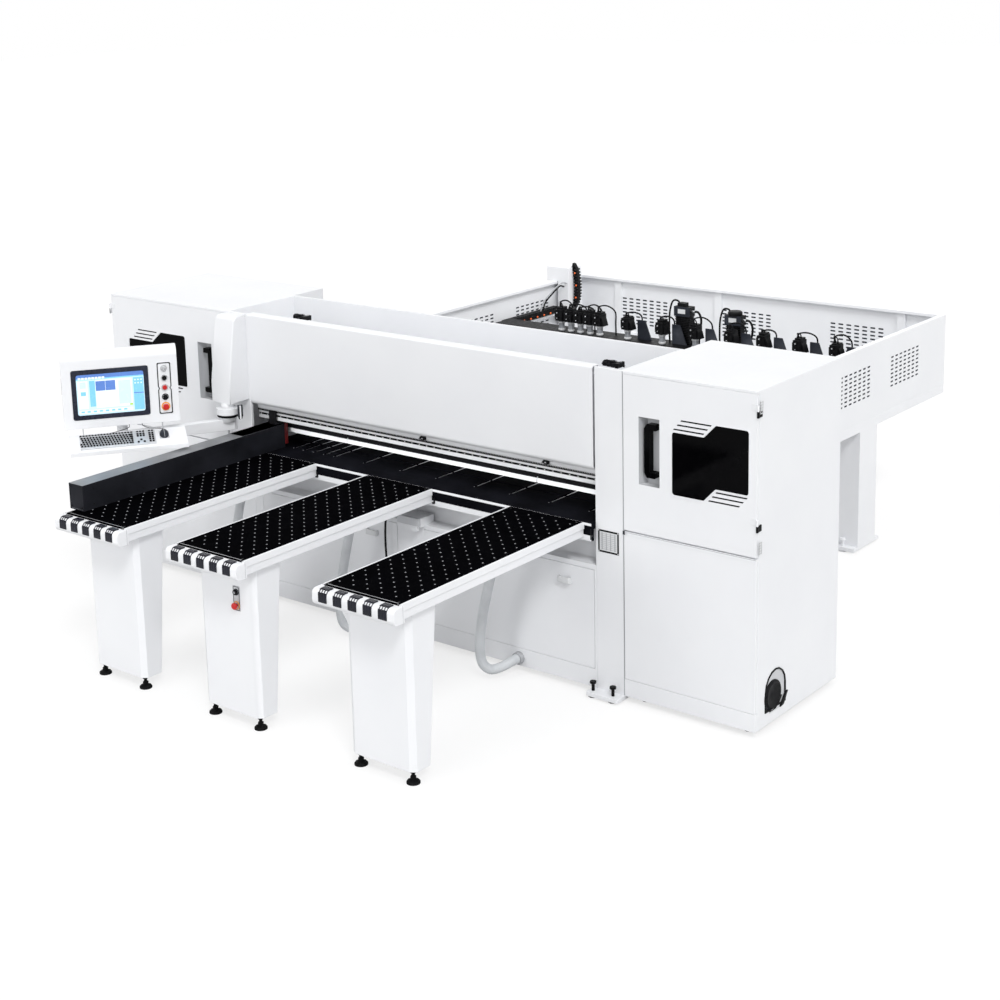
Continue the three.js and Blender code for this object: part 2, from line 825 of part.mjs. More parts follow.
function doorWindow(cabinet) {
  const half = cabinet.windowWidth / 2 + paneMargin;
  const tall = windowHeight / 2 + paneMargin;
  const pane = rounded(rectangle(-half, half, -tall, tall), windowCorner);
  const front = doorSkin + fitGap;
  return alongY(placedWindow(cabinet, pane), front, front + paneThickness);
}

// Extraction port low in the right cabinet's side: an arched plate with a round duct end and its trim

const archFront = 103;
const archWidth = 227;
const archBottom = 112;
const archSpring = 227;
const archTrim = 8;
const archTrimRise = 5;
const archPlateMargin = 20;
const archPlateThickness = 6;
const ductRadius = 78;
const ductCentreY = 188;
const ductCentreZ = 196;
const ductReach = 4;
const ductWall = 6;
const ductDish = 14;
const flapReach = 26;
const flapTop = 160;
const flapBottom = 118;

function archOutline(grow) {
  const radius = archWidth / 2 + grow;
  const centre = archFront + archWidth / 2;
  return [
    [centre - radius, archBottom - grow],
    [centre + radius, archBottom - grow],
    ...arc(centre, archSpring, radius, 0, 180, 8),
  ];
}

function extractionPort() {
  const wall = cabinetAt(rightCabinet, rightCabinet.width);
  const plateOut = wall - cabinetSheet - fitGap;
  const plate = alongX(archOutline(archPlateMargin), plateOut - archPlateThickness, plateOut);
  const lining = alongX(archOutline(-fitGap), plateOut - archPlateThickness / 2, wall + archTrimRise,
    [archOutline(-archTrim)]);
  const duct = turnedX([
    [0, plateOut - archPlateThickness],
    [ductRadius, plateOut - archPlateThickness],
    [ductRadius, wall + ductReach],
    [ductRadius - ductWall, wall + ductReach + ductWall],
    [0, wall + ductReach - ductDish],
  ], ductCentreY, ductCentreZ, 16);
  const flapY = ductCentreY + ductRadius;
  const flap = alongX([
    [flapY - ductWall * 2, flapTop],
    [flapY - ductWall * 2, flapBottom],
    [flapY + flapReach, flapTop],
  ], plateOut - archPlateThickness / 2, wall + ductReach);
  return union([plate, lining, duct, flap]);
}

function rightCabinetShell() {
  const wall = cabinetAt(rightCabinet, rightCabinet.width);
  return cut(cabinetShell(rightCabinet), [
    alongX(archOutline(0), wall - cabinetSheet - cutOverrun, wall + cutOverrun),
  ]);
}

// Housing of the console arm on the left post, with the fixed disc of its pivot

const housingStart = 13;
const housingWidth = 178;
const housingBottom = 1371;
const housingTopDrop = 8;
const housingTop = bodyTop - housingTopDrop;
const housingHeight = housingTop - housingBottom;
const housingFoldShare = 0.249;
const housingFold = housingBottom + housingHeight * housingFoldShare;
const housingReach = 167;
const housingBendShare = 0.495;
const housingBend = housingBottom + housingHeight * housingBendShare;
const housingBendReach = 145;
const housingTopReach = 107;
const housingChamfer = 29;
const housingSheet = 4;
const pivotOut = 78;
const pivotReach = 137;
const pivotNeckRadius = 42;
const pivotDiscRadius = 75;
const pivotDiscTop = 1340;
const pivotDiscBottom = 1300;
const pivotX = -bedLength - pivotOut;

function housingProfile(inset) {
  const seat = inset ? cutOverrun : -fitGap;
  return [
    [seat, housingBottom + inset],
    [-housingReach + inset, housingBottom + inset],
    [-housingReach + inset, housingFold],
    [-housingBendReach + inset, housingBend],
    [-housingTopReach + inset, housingTop - housingChamfer],
    [-housingTopReach + inset + housingChamfer, housingTop - inset],
    [seat, housingTop - inset],
  ];
}

function columnHousing() {
  const xb = -bedLength - housingStart;
  const xa = xb - housingWidth;
  const shell = cut(alongX(housingProfile(0), xa, xb), [
    alongX(housingProfile(housingSheet), xa + housingSheet, xb - housingSheet),
  ]);
  const neck = turned([
    [0, pivotDiscBottom],
    [pivotDiscRadius, pivotDiscBottom],
    [pivotDiscRadius, pivotDiscTop],
    [pivotNeckRadius, pivotDiscTop],
    [pivotNeckRadius, housingBottom + housingSheet / 2],
    [0, housingBottom + housingSheet / 2],
  ], pivotX, -pivotReach, 14);
  return shell.add(neck);
}

// Air tables: a black plate with air nozzles in a white pan, a rounded front cap with five guides, a leg

const plateWidth = 516;
const plateThickness = 12;
const frameLip = 12;
const frameBottom = 960;
const frameStep = 1006;
const frameStepDepth = 6;
const frameSheet = 6;
const frameShelf = 12;
const tableEnd = 1629;
const capEnd = 1699;
const capOverhang = 12;
const capTop = 1039;
const capBottom = 950;
const capRadius = 26;
const guideCount = 5;
const guideWidth = 58;
const guideRise = 6;
const guideRadius = 30;
const spigotRadius = 30;
const spigotLength = 58;
const spigotPlaceX = -202;
const spigotPlaceY = -265;

function tableCentre(index) {
  return -tableCentres[index];
}

function tableFrameProfile(centre) {
  const half = plateWidth / 2 + frameLip;
  const plateSeat = tableTop - plateThickness - fitGap;
  const shelf = plateWidth / 2 - frameShelf;
  const lip = plateWidth / 2 + fitGap;
  const right = [
    [half - frameStepDepth, frameBottom],
    [half - frameStepDepth, frameStep],
    [half, frameStep],
    [half, tableTop],
    [lip, tableTop],
    [lip, plateSeat],
    [shelf, plateSeat],
    [shelf, frameBottom + frameSheet],
  ];
  const left = right.map(([u, v]) => [-u, v]).reverse();
  return [...right, ...left].map(([u, v]) => [centre + u, v]);
}

// Each guide is a roller-shaped pad that wraps over the cap's front edge.
function capGuide(x) {
  const crown = tableTop - guideRadius;
  const nose = -capEnd - guideRise + guideRadius;
  const inner = nose + guideRadius;
  const points = [
    [inner, capBottom + capRadius],
    [inner, tableTop],
    ...arc(nose, crown, guideRadius, 90, 180, 3),
    [nose - guideRadius, capBottom + capRadius],
  ];
  return alongX(points, x - guideWidth / 2, x + guideWidth / 2);
}

function tableCap(centre) {
  const half = plateWidth / 2 + frameLip + capOverhang;
  const points = rounded([
    [-tableEnd, capBottom],
    [-tableEnd, capTop],
    [-capEnd, capTop],
    [-capEnd, capBottom],
  ], capRadius, 3);
  const pitch = plateWidth / guideCount;
  const guides = [];
  for (let k = 0; k < guideCount; k += 1) {
    guides.push(capGuide(centre + pitch * (k - (guideCount - 1) / 2)));
  }
  return union([
    alongX(points, centre - half, centre + half),
    block(centre - half, centre + half, -tableEnd - capRadius, -tableEnd + frameLip, capBottom, capTop),
    ...guides,
  ]);
}

function hoseSpigot(index) {
  const x = tableCentre(index) + spigotPlaceX;
  const profile = discProfile(spigotRadius, frameBottom - spigotLength, frameBottom + frameSheet);
  return turned(profile, x, spigotPlaceY);
}

function tableFrame(index) {
  const centre = tableCentre(index);
  const shelf = plateWidth / 2;
  const rear = tableFront - fitGap;
  const pan = alongY(tableFrameProfile(centre), -tableEnd, rear);
  const plateSeat = tableTop - plateThickness - fitGap;
  const rearWall = block(centre - shelf, centre + shelf, rear - frameSheet, rear, frameBottom, plateSeat);
  const frontRoom = block(centre - plateWidth / 2 - fitGap, centre + plateWidth / 2 + fitGap,
    -tableEnd, -tableEnd + frameLip * 2, plateSeat, tableTop + cutOverrun);
  const whole = cut(union([pan, rearWall, tableCap(centre)]), [frontRoom]);
  return whole.add(hoseSpigot(index));
}

function tablePlate(index) {
  const centre = tableCentre(index);
  return block(centre - plateWidth / 2, centre + plateWidth / 2, -tableEnd + fitGap, tableFront - fitGap,
    tableTop - plateThickness, tableTop);
}

// Legs: folded channels open to the back, wider at the top, with two levelling feet each

const legFront = 1520;
const legHalf = 190;
const legChamferOut = 34;
const legChamferBack = 25;
const legBottom = 73;
const legDepthTop = 209;
const legDepthBottom = 131;
const legSheet = 6;
const legFootSpread = 184;
const legFootBack = 36;
const legPadRadius = 37;
const gussetOut = 56;
const gussetTop = 870;
const gussetDrop = 89;
const gussetSheet = 8;

function legPlan(centre, inset, back) {
  const outer = legHalf + legChamferOut - inset;
  const bend = legHalf - inset / 2;
  const front = -legFront + inset;
  return [
    [centre - bend, front],
    [centre + bend, front],
    [centre + outer, front + legChamferBack],
    [centre + outer, back],
    [centre - outer, back],
    [centre - outer, front + legChamferBack],
  ];
}

function tableLeg(index) {
  const centre = tableCentre(index);
  const top = frameBottom - fitGap;
  const back = -legFront + legDepthTop;
  const wedge = alongX([
    [-legFront - cutOverrun, legBottom],
    [-legFront + legDepthBottom, legBottom],
    [back, top],
    [-legFront - cutOverrun, top],
  ], centre - plateWidth, centre + plateWidth);
  const outside = alongZ(legPlan(centre, 0, back + cutOverrun), legBottom, top);
  const inside = alongZ(legPlan(centre, legSheet, back + cutOverrun * 2),
    legBottom + legSheet * 2, top - legSheet * 2);
  const shell = cut(outside, [inside]).intersect(wedge);
  const footY = -legFront + legFootBack;
  const feet = [-1, 1].map((side) => levellingFoot(centre + side * legFootSpread, footY,
    legBottom + legSheet, legPadRadius));
  return union([shell, ...feet]);
}

function legGusset(index) {
  const edge = tableCentre(index) - legHalf - legChamferOut;
  const y = -legFront + legChamferBack;
  const plate = alongY([
    [edge + legSheet / 2, gussetTop - gussetDrop],
    [edge + legSheet / 2, gussetTop],
    [edge - gussetOut, gussetTop],
  ], y, y + gussetSheet);
  return plate;
}

// Ribbed suction hoses from the plinth to the air tables

const hoseCrest = 30;
const hoseRoot = 26;
const hoseSides = 8;
const ribCount = 24;
const boreEvery = 5;

// Chosen by hand, from the collar's mouth; X from the collar, Y and Z from the machine's zero.
const hoseRoute = [
  [0, -31, 90],
  [0, -91, 90],
  [-24, -150, 74],
  [-66, -196, 64],
  [-100, -226, 100],
  [-114, -236, 190],
  [-104, -238, 300],
  [-76, -242, 440],
  [-30, -252, 590],
  [14, -260, 730],
  [40, -264, 800],
  [46, -265, 841],
  [46, -265, 901],
];

function ring(frame, radius) {
  const points = [];
  for (let k = 0; k < hoseSides; k += 1) {
    const angle = (2 * Math.PI * k) / hoseSides;
    const out = frame.normal.clone().multiplyScalar(radius * Math.cos(angle));
    out.addScaledVector(frame.binormal, radius * Math.sin(angle));
    points.push(frame.place.clone().add(out));
  }
  return points;
}

// Frames along the route keep their turn from one to the next, so the rings don't twist.
function routeFrames(route, stations) {
  const length = route.getLength();
  let normal = null;
  return stations.map((distance) => {
    const share = Math.min(1, Math.max(0, distance / length));
    const tangent = route.getTangentAt(share);
    if (!normal) normal = new THREE.Vector3(0, 0, 1);
    normal = normal.clone().addScaledVector(tangent, -normal.dot(tangent)).normalize();
    const binormal = tangent.clone().cross(normal);
    return { place: route.getPointAt(share), normal, binormal };
  });
}

function ribbedHose(index) {
  const start = collarPlace(index);
  const seat = -hoseCollarLength - fitGap;
  const mouth = frameBottom - spigotLength - fitGap;
  const points = hoseRoute.map(([x, y, z]) => new THREE.Vector3(start + x, y, z));
  points[0].set(start, seat, hoseCollarHeight);
  points[1].set(start, seat - 2 * hoseRadius, hoseCollarHeight);
  const spigotX = tableCentre(index) + spigotPlaceX;
  points[points.length - 2].set(spigotX, spigotPlaceY, mouth - 2 * hoseRadius);
  points[points.length - 1].set(spigotX, spigotPlaceY, mouth);
  const route = new THREE.CatmullRomCurve3(points, false, 'centripetal');
  const length = route.getLength();
  const straight = 2 * hoseRadius;
  const pitch = (length - 2 * straight) / ribCount;
  const outer = [[0, hoseCrest]];
  const inner = [0];
  for (let k = 0; k < ribCount; k += 1) {
    const at = straight + pitch * k;
    outer.push([at + pitch / 4, hoseRoot], [at + (pitch * 3) / 4, hoseCrest]);
    if (k % boreEvery === 0) inner.push(at);
  }
  outer.push([length, hoseCrest]);
  inner.push(length);
  const outerFrames = routeFrames(route, outer.map(([distance]) => distance));
  const innerFrames = routeFrames(route, inner);
  return hoseGeometry(
    outerFrames.map((frame, k) => ring(frame, outer[k][1])),
    innerFrames.map((frame) => ring(frame, hoseBoreRadius)),
  );
}

function hoseGeometry(outerRings, innerRings) {
  const places = [...outerRings.flat(), ...innerRings.flat()].flatMap((point) => point.toArray());
  const faces = [];
  const quad = (a, b, c, d) => faces.push(a, b, c, a, c, d);
  const innerStart = outerRings.length * hoseSides;
  const outerEnd = (outerRings.length - 1) * hoseSides;
  const innerEnd = innerStart + (innerRings.length - 1) * hoseSides;
  for (let k = 0; k < hoseSides; k += 1) {
    const next = (k + 1) % hoseSides;
    for (let i = 0; i + 1 < outerRings.length; i += 1) {
      const row = i * hoseSides;
      quad(row + k, row + next, row + hoseSides + next, row + hoseSides + k);
    }
    for (let i = 0; i + 1 < innerRings.length; i += 1) {
      const row = innerStart + i * hoseSides;
      quad(row + next, row + k, row + hoseSides + k, row + hoseSides + next);
    }
    quad(next, k, innerStart + k, innerStart + next);
    quad(outerEnd + k, outerEnd + next, innerEnd + next, innerEnd + k);
  }
  const geometry = new THREE.BufferGeometry();
  geometry.setAttribute('position', new THREE.BufferAttribute(new Float32Array(places), 3));
  geometry.setIndex(faces);
  return toSolid(geometry);
}

// Fence along the left side of the tables: a hollow section with a bolted plate at its back end

const fenceInset = 174;
const fenceInner = bedLength - fenceInset;
const fenceWidth = 127;
const fenceFront = 1560;
const fenceBack = 130;
const fenceTop = 1206;
const fenceWall = 8;

function fence() {
  const xb = -fenceInner;
  const xa = xb - fenceWidth;
  const bottom = tableTop + fitGap;
  const section = rectangle(xa, xb, bottom, fenceTop);
  const bore = rectangle(xa + fenceWall, xb - fenceWall, bottom + fenceWall, fenceTop - fenceWall);
  return alongY(section, -fenceFront, fenceBack, [bore]);
}

// Rear guards and the frame that carries them and the pusher

const guardPastBed = 484;
const guardInner = bedLength + guardPastBed;
const guardRight = 100;
const guardBack = 4446;
const guardTop = 1480;
const guardBottom = 944;
const guardSheet = 6;
const guardFlange = 40;
const leftGuardStart = 931;
const seamWidth = 66;
const seamDepth = 20;
const seamShares = [0.884, 0.5814, 0.086];
const ventColumnCount = 7;
const ventRowCount = 3;
const ventWidth = 44;
const ventHeight = 14;
const ventColumnPitch = 68;
const ventRowPitch = 70;
const backVentTop = 1317;
const backVentShares = [0.864, 0.563, 0.2614];
const rightVentStarts = [2760, 3537];
const leftVentStarts = [3514];
const leftVentRowCount = 2;
const sideVentTop = 1333;
const leftVentTop = 1341;

// Rectangles of a vent group, from its first column's edge and its top row.
function ventGroup(start, top, rowCount) {
  const holes = [];
  for (let row = 0; row < rowCount; row += 1) {
    for (let column = 0; column < ventColumnCount; column += 1) {
      const edge = start + column * ventColumnPitch;
      const high = top - row * ventRowPitch;
      holes.push(rectangle(edge, edge + ventWidth, high - ventHeight, high));
    }
  }
  return holes;
}

function backGuard() {
  const xa = -guardInner;
  const xb = guardRight;
  const inner = guardBack - guardSheet;
  const ventStarts = backVentShares.map((share) => -guardInner * share);
  const vents = ventStarts.flatMap((start) => ventGroup(start, backVentTop, ventRowCount));
  const plate = alongY(rectangle(xa, xb, guardBottom, guardTop), inner, guardBack);
  const flangeA = xa + guardFlange + fitGap;
  const flangeB = xb - guardFlange - fitGap;
  const top = block(flangeA, flangeB, inner - guardFlange, inner + guardSheet / 2,
    guardTop - guardSheet, guardTop);
  const seamPlaces = seamShares.map((share) => -guardInner * share);
  const seams = seamPlaces.map((x) => block(x - seamWidth / 2, x + seamWidth / 2,
    inner - seamDepth, inner + guardSheet / 2, guardBottom, guardTop - guardSheet / 2));
  const whole = union([plate, top, ...seams]);
  return cut(whole, vents.map((vent) => alongY(vent, inner - cutOverrun, guardBack + cutOverrun)));
}

function sideGuard(outer, inward, start, ventStarts, ventTop, rowCount) {
  const end = guardBack - guardSheet - fitGap;
  const vents = ventStarts.flatMap((place) => ventGroup(place, ventTop, rowCount));
  const xs = [outer, outer + inward * guardSheet].sort((a, b) => a - b);
  const plate = block(xs[0], xs[1], start, end, guardBottom, guardTop);
  const top = block(outer, outer + inward * guardFlange, start, end, guardTop - guardSheet, guardTop);
  return cut(plate.add(top), vents.map((vent) => alongX(vent, xs[0] - cutOverrun, xs[1] + cutOverrun)));
}

function rightGuard() {
  return sideGuard(guardRight, -1, bedDepth + fitGap, rightVentStarts, sideVentTop, ventRowCount);
}

function leftGuard() {
  return sideGuard(-guardInner, 1, leftGuardStart, leftVentStarts, leftVentTop, leftVentRowCount);
}

const sideBeamWidth = 80;
const sideBeamHeight = 64;
const runwayWidth = 50;
const runwayTop = 1050;
const runwayFront = 940;
const runwayBack = 4030;
const railWidth = 20;
const railHeight = 20;
const rearLegFront = 3075;
const rearLegBack = 3341;
const rearLegWidth = 200;
const rearLegSheet = 8;
const rearFootPast = 60;
const crossBeamDepth = 80;
const crossBeamPlaces = [1500, 4360];
const supportWidth = 60;
const supportTop = 1042;
const supportFront = 906;
const supportSheet = 20;
const lastSupportInset = 112;

// The supports stand midway between the slots that are set apart, and one beside the fence.
function supportPlaces() {
  const between = apartSlotShares.map((share, index) => (slotPlaces[index] + slotPlaces[index + 1]) / 2);
  return [...between, bedLength - lastSupportInset];
}

function sideBeam(outer, inward, start) {
  const top = guardBottom - fitGap;
  const beamInner = outer + inward * sideBeamWidth;
  const runwayOuter = beamInner - inward * runwayWidth;
  const middle = (beamInner + runwayOuter) / 2;
  return union([
    block(outer, beamInner, start, guardBack, top - sideBeamHeight, top),
    block(runwayOuter, beamInner, runwayFront, runwayBack, top - sideBeamHeight / 2, runwayTop),
    block(middle - railWidth / 2, middle + railWidth / 2, runwayFront, runwayBack,
      runwayTop - railHeight / 2, runwayTop + railHeight),
  ]);
}

function rearLeg(outer, inward) {
  const inner = outer + inward * rearLegWidth;
  const [xa, xb] = [outer, inner].sort((a, b) => a - b);
  const top = guardBottom - fitGap - sideBeamHeight / 2;
  const section = rectangle(xa, xb, rearLegFront, rearLegBack);
  const bore = rectangle(xa + rearLegSheet, xb - rearLegSheet,
    rearLegFront + rearLegSheet, rearLegBack - rearLegSheet);
  const tube = alongZ(section, bodyBottom - footPlateThickness, top, [bore]);
  const plate = block(xa, xb, rearLegFront - rearFootPast, rearLegBack + rearFootPast,
    bodyBottom - footPlateThickness, bodyBottom);
  const middle = (xa + xb) / 2;
  const bolts = [
    levellingBolt(middle, rearLegFront - rearFootPast / 2, bodyBottom),
    levellingBolt(middle, rearLegBack + rearFootPast / 2, bodyBottom),
  ];
  return union([tube, plate, ...bolts]);
}

function crossBeam(ya, yb) {
  const top = guardBottom - fitGap;
  return block(-guardInner + sideBeamWidth / 2, guardRight - sideBeamWidth / 2, ya, yb,
    top - sideBeamHeight, top);
}

// A support rail carries the panels between two gripper slots: a deep thin web under a flat top.
function supportRail(place) {
  const top = guardBottom - fitGap;
  const back = crossBeamPlaces[1] + crossBeamDepth / 2;
  const webHalf = supportSheet / 2;
  return union([
    block(-place - webHalf, -place + webHalf, supportFront, back, top - sideBeamHeight / 2, supportTop),
    block(-place - supportWidth / 2, -place + supportWidth / 2, supportFront, back,
      supportTop - supportSheet, supportTop),
  ]);
}

function rearFrame() {
  return union([
    sideBeam(guardRight, -1, bedDepth + fitGap),
    sideBeam(-guardInner, 1, leftGuardStart),
    rearLeg(guardRight, -1),
    rearLeg(-guardInner, 1),
    crossBeam(rearLegFront, rearLegFront + crossBeamDepth),
    ...crossBeamPlaces.map((place) => crossBeam(place, place + crossBeamDepth)),
    ...supportPlaces().map(supportRail),
  ]);
}

// Cable pillar in the far left corner, with its overhanging head and the hanging cable chain

const pillarFront = 4050;
const pillarDepth = 190;
const pillarLeft = 46;
const pillarRight = 176;
const pillarHeadOut = 66;
const pillarTop = 1600;
const chainWidth = 70;
const chainThickness = 36;
const chainSteps = 12;
// Places along the chain: out of the pillar in thicknesses, and down from its top in widths.
const chainBendShares = [[-1, 0], [0.5, 0.26], [1, 1], [1.5, 2], [1, 4], [-1, 5]];

function cablePillar() {
  const edge = -guardInner;
  const top = guardBottom - fitGap;
  const back = pillarFront + pillarDepth;
  const headBottom = guardTop + fitGap;
  const column = block(edge + pillarLeft, edge + pillarRight, pillarFront, back, top + fitGap, pillarTop);
  const head = block(edge - pillarHeadOut, edge + pillarRight, pillarFront, back, headBottom, pillarTop);
  const middleY = pillarFront + pillarDepth / 2;
  const right = edge + pillarRight;
  const bend = new THREE.CatmullRomCurve3(chainBendShares.map(([outShare, dropShare]) => new THREE.Vector3(
    right + chainThickness * outShare, middleY, pillarTop - chainWidth * dropShare)));
  const section = rectangle(-chainThickness / 2, chainThickness / 2, -chainWidth / 2, chainWidth / 2);
  const sweep = { steps: chainSteps, bevelEnabled: false, extrudePath: bend };
  const chain = new THREE.ExtrudeGeometry(outline(section), sweep);
  return union([column, head, toSolid(chain)]);
}

// Pressure beam: hollow feet on both sides of the saw channel, with tongues that run on the guide bars

const beamFront = 200;
const beamBack = 400;
const channelWidth = 24;
const channelTop = 1250;
const beamBottom = 1131;
const beamTop = 1300;
const bandBottom = 1161;
const bandTop = 1203;
const bandDepth = 8;
const beamEndGap = 6;
const beamWall = 12;
const footJointShares = [0.2045, 0.7594];
const footJointWidth = 6;
const footJointDepth = 16;
const tongueHalf = 42;
const tongueBottom = 1225;
const tongueTop = 1296;
const tonguePast = 14;
const tongueRoot = 60;

function pressureBeam() {
  const channelFront = sawLine - channelWidth / 2;
  const channelBack = sawLine + channelWidth / 2;
  const section = [
    [beamFront, beamBottom],
    [channelFront, beamBottom],
    [channelFront, channelTop],
    [channelBack, channelTop],
    [channelBack, beamBottom],
    [beamBack, beamBottom],
    [beamBack, beamTop],
    [beamFront, beamTop],
    [beamFront, bandTop],
    [beamFront + bandDepth, bandTop],
    [beamFront + bandDepth, bandBottom],
    [beamFront, bandBottom],
  ];
  const boreBottom = beamBottom + beamWall;
  const boreTop = beamTop - beamWall;
  const bores = [
    rectangle(beamFront + bandDepth + beamWall, channelFront - beamWall, boreBottom, boreTop),
    rectangle(channelBack + beamWall, beamBack - beamWall, boreBottom, boreTop),
  ];
  const ends = [-bedLength + beamEndGap, -beamEndGap];
  const bar = alongX(section, ends[0], ends[1], bores);
  const jointPlaces = footJointShares.map((share) => -bedLength * share);
  const joints = jointPlaces.map((x) => block(x, x + footJointWidth, beamFront - cutOverrun,
    beamFront + footJointDepth, beamBottom - cutOverrun, bandBottom + cutOverrun));
  return cut(bar, joints).add(beamTongue(1)).add(beamTongue(-1));
}

function beamTongue(side) {
  const at = (u) => postEdge(side) + side * u;
  const barFace = postWidth - postSheet - guideBarDepth;
  const tip = barFace + tonguePast;
  const groove = guideBarWidth / 2 + fitGap;
  const tongue = block(at(-tongueRoot), at(tip), sawLine - tongueHalf, sawLine + tongueHalf,
    tongueBottom, tongueTop);
  return cut(tongue, [
    block(at(barFace - fitGap), at(tip + cutOverrun), sawLine - groove, sawLine + groove,
      tongueBottom - cutOverrun, tongueTop + cutOverrun),
  ]);
}

// Side aligner: a carriage round the front rail with a finger down to the table

const alignerInset = 144;
const alignerPlace = bedLength - alignerInset;
const alignerWidth = 64;
const alignerFront = 50;
const alignerTop = 1306;
const alignerPlateBottom = 1214;
const fingerFront = 140;
const fingerBack = 165;
const fingerBottom = 1063;
const fingerWidth = 50;

function sideAligner() {
  const xa = -alignerPlace - alignerWidth / 2;
  const xb = xa + alignerWidth;
  const face = railFront - railStep - fitGap;
  const under = railBottom - fitGap;
  const body = alongX([
    [alignerFront, alignerPlateBottom],
    [fingerBack, alignerPlateBottom],
    [fingerBack, under],
    [face, under],
    [face, alignerTop],
    [alignerFront, alignerTop],
  ], xa, xb);
  const finger = block(-alignerPlace - fingerWidth / 2, -alignerPlace + fingerWidth / 2,
    fingerFront, fingerBack, fingerBottom, alignerPlateBottom + cutOverrun);
  return body.add(finger);
}

// Saw carriage on the rails of the rear wall, and the saw unit that it lifts

const mainBladeX = -35;
const carriageLeft = 400;
const carriageRight = 200;
const carriagePlateFront = 560;
const carriagePlateBack = 584;
const carriageBottom = 560;
const carriageTop = 920;
const shoeWidth = 90;
const shoeHeight = 56;
const shoeBack = 612;
const liftRailWidth = 26;
const liftRailFront = 545;
const liftRailBottom = 570;
const liftRailInset = 60;

function bearingShoe(x, height) {
  const half = shoeWidth / 2;
  const railFace = bedDepth - baseSheet - carriageRailSize - fitGap;
  const grip = carriageRailSize / 2 + fitGap;
  const shoe = block(x - half, x + half, carriagePlateBack - cutOverrun, shoeBack,
    height - shoeHeight / 2, height + shoeHeight / 2);
  return cut(shoe, [
    block(x - half - cutOverrun, x + half + cutOverrun, railFace, shoeBack + cutOverrun,
      height - grip, height + grip),
  ]);
}

function liftRailPlaces() {
  return [mainBladeX - carriageLeft + liftRailInset, mainBladeX + carriageRight - liftRailInset];
}

function sawCarriage() {
  const xa = mainBladeX - carriageLeft;
  const xb = mainBladeX + carriageRight;
  const plate = block(xa, xb, carriagePlateFront, carriagePlateBack, carriageBottom, carriageTop);
  const shoes = [xa + shoeWidth / 2, xb - shoeWidth / 2].flatMap((x) => [
    bearingShoe(x, lowerRailHeight),
    bearingShoe(x, upperRailHeight),
  ]);
  const rails = liftRailPlaces().map((x) => block(x - liftRailWidth / 2, x + liftRailWidth / 2,
    liftRailFront, carriagePlateFront + cutOverrun, liftRailBottom, carriageTop));
  return union([plate, ...shoes, ...rails]);
}

const unitPlateFront = 505;
const unitPlateBack = 528;
const unitBottom = 560;
const unitTop = 850;
const unitShoeHeight = 80;
const arborHeight = 810;
const scoringArborHeight = 834;
const scoringOffset = 300;
const arborRadius = 42;
const arborFront = 318;
const motorRadius = 98;
const motorOffset = 150;
const motorHeight = 662;
const motorFront = 340;
const guardPlateThickness = 14;

function unitShoe(x, height) {
  const half = liftRailWidth / 2 + fitGap;
  const shoe = block(x - liftRailWidth, x + liftRailWidth, unitPlateBack - cutOverrun,
    liftRailFront + liftRailWidth / 4, height, height + unitShoeHeight);
  return cut(shoe, [
    block(x - half, x + half, liftRailFront - fitGap, liftRailFront + liftRailWidth, height - cutOverrun,
      height + unitShoeHeight + cutOverrun),
  ]);
}

// The belt guard's outline runs round the motor pulley and the main arbor.
function beltGuard() {
  const motor = new THREE.Vector2(mainBladeX - motorOffset, motorHeight);
  const arbor = new THREE.Vector2(mainBladeX, arborHeight);
  const lean = THREE.MathUtils.radToDeg(arbor.clone().sub(motor).angle());
  const radius = arborRadius + guardPlateThickness / 2;
  const points = [
    ...arc(motor.x, motor.y, radius, lean + 90, lean + 270, 6),
    ...arc(arbor.x, arbor.y, radius, lean - 90, lean + 90, 6),
  ];
  return alongY(points, arborFront + guardPlateThickness / 2, motorFront + guardPlateThickness / 2);
}

function sawUnit() {
  const xa = mainBladeX - carriageLeft + liftRailInset / 2;
  const xb = mainBladeX + carriageRight - liftRailInset / 2;
  const plate = block(xa, xb, unitPlateFront, unitPlateBack, unitBottom, unitTop);
  const shoes = liftRailPlaces().flatMap((x) => [
    unitShoe(x, unitBottom + unitShoeHeight / 2),
    unitShoe(x, unitTop - unitShoeHeight),
  ]);
  const arborProfile = discProfile(arborRadius, arborFront, unitPlateFront + cutOverrun);
  const motorProfile = discProfile(motorRadius, motorFront, unitPlateFront + cutOverrun);
  const arbor = turnedY(arborProfile, mainBladeX, arborHeight);
  const scoringArbor = turnedY(arborProfile, mainBladeX - scoringOffset, scoringArborHeight);
  const motor = turnedY(motorProfile, mainBladeX - motorOffset, motorHeight, 16);
  return union([plate, ...shoes, arbor, scoringArbor, motor, beltGuard()]);
}

// Blades: toothed discs between flanges, with the nut in front

const mainBladeRadius = 190;
const mainToothCount = 36;
const scoringBladeRadius = 90;
const scoringToothCount = 18;
const bladeThickness = 4.4;
const toothDepth = 9;
const flangeRadius = 55;
const flangeThickness = 9;
const nutRadius = 20;
const nutThickness = 12;

// A tooth has a steep face, a short gullet at the root and a long back up to the next tip.
const toothFaceShare = 0.08;
const toothBackShare = 0.5;

function toothedOutline(x, z, radius, toothCount) {
  const points = [];
  const root = radius - toothDepth;
  for (let k = 0; k < toothCount; k += 1) {
    const at = (share) => (2 * Math.PI * (k + share)) / toothCount;
    points.push([x + radius * Math.cos(at(0)), z + radius * Math.sin(at(0))]);
    points.push([x + root * Math.cos(at(toothFaceShare)), z + root * Math.sin(at(toothFaceShare))]);
    points.push([x + root * Math.cos(at(toothBackShare)), z + root * Math.sin(at(toothBackShare))]);
  }
  return points;
}

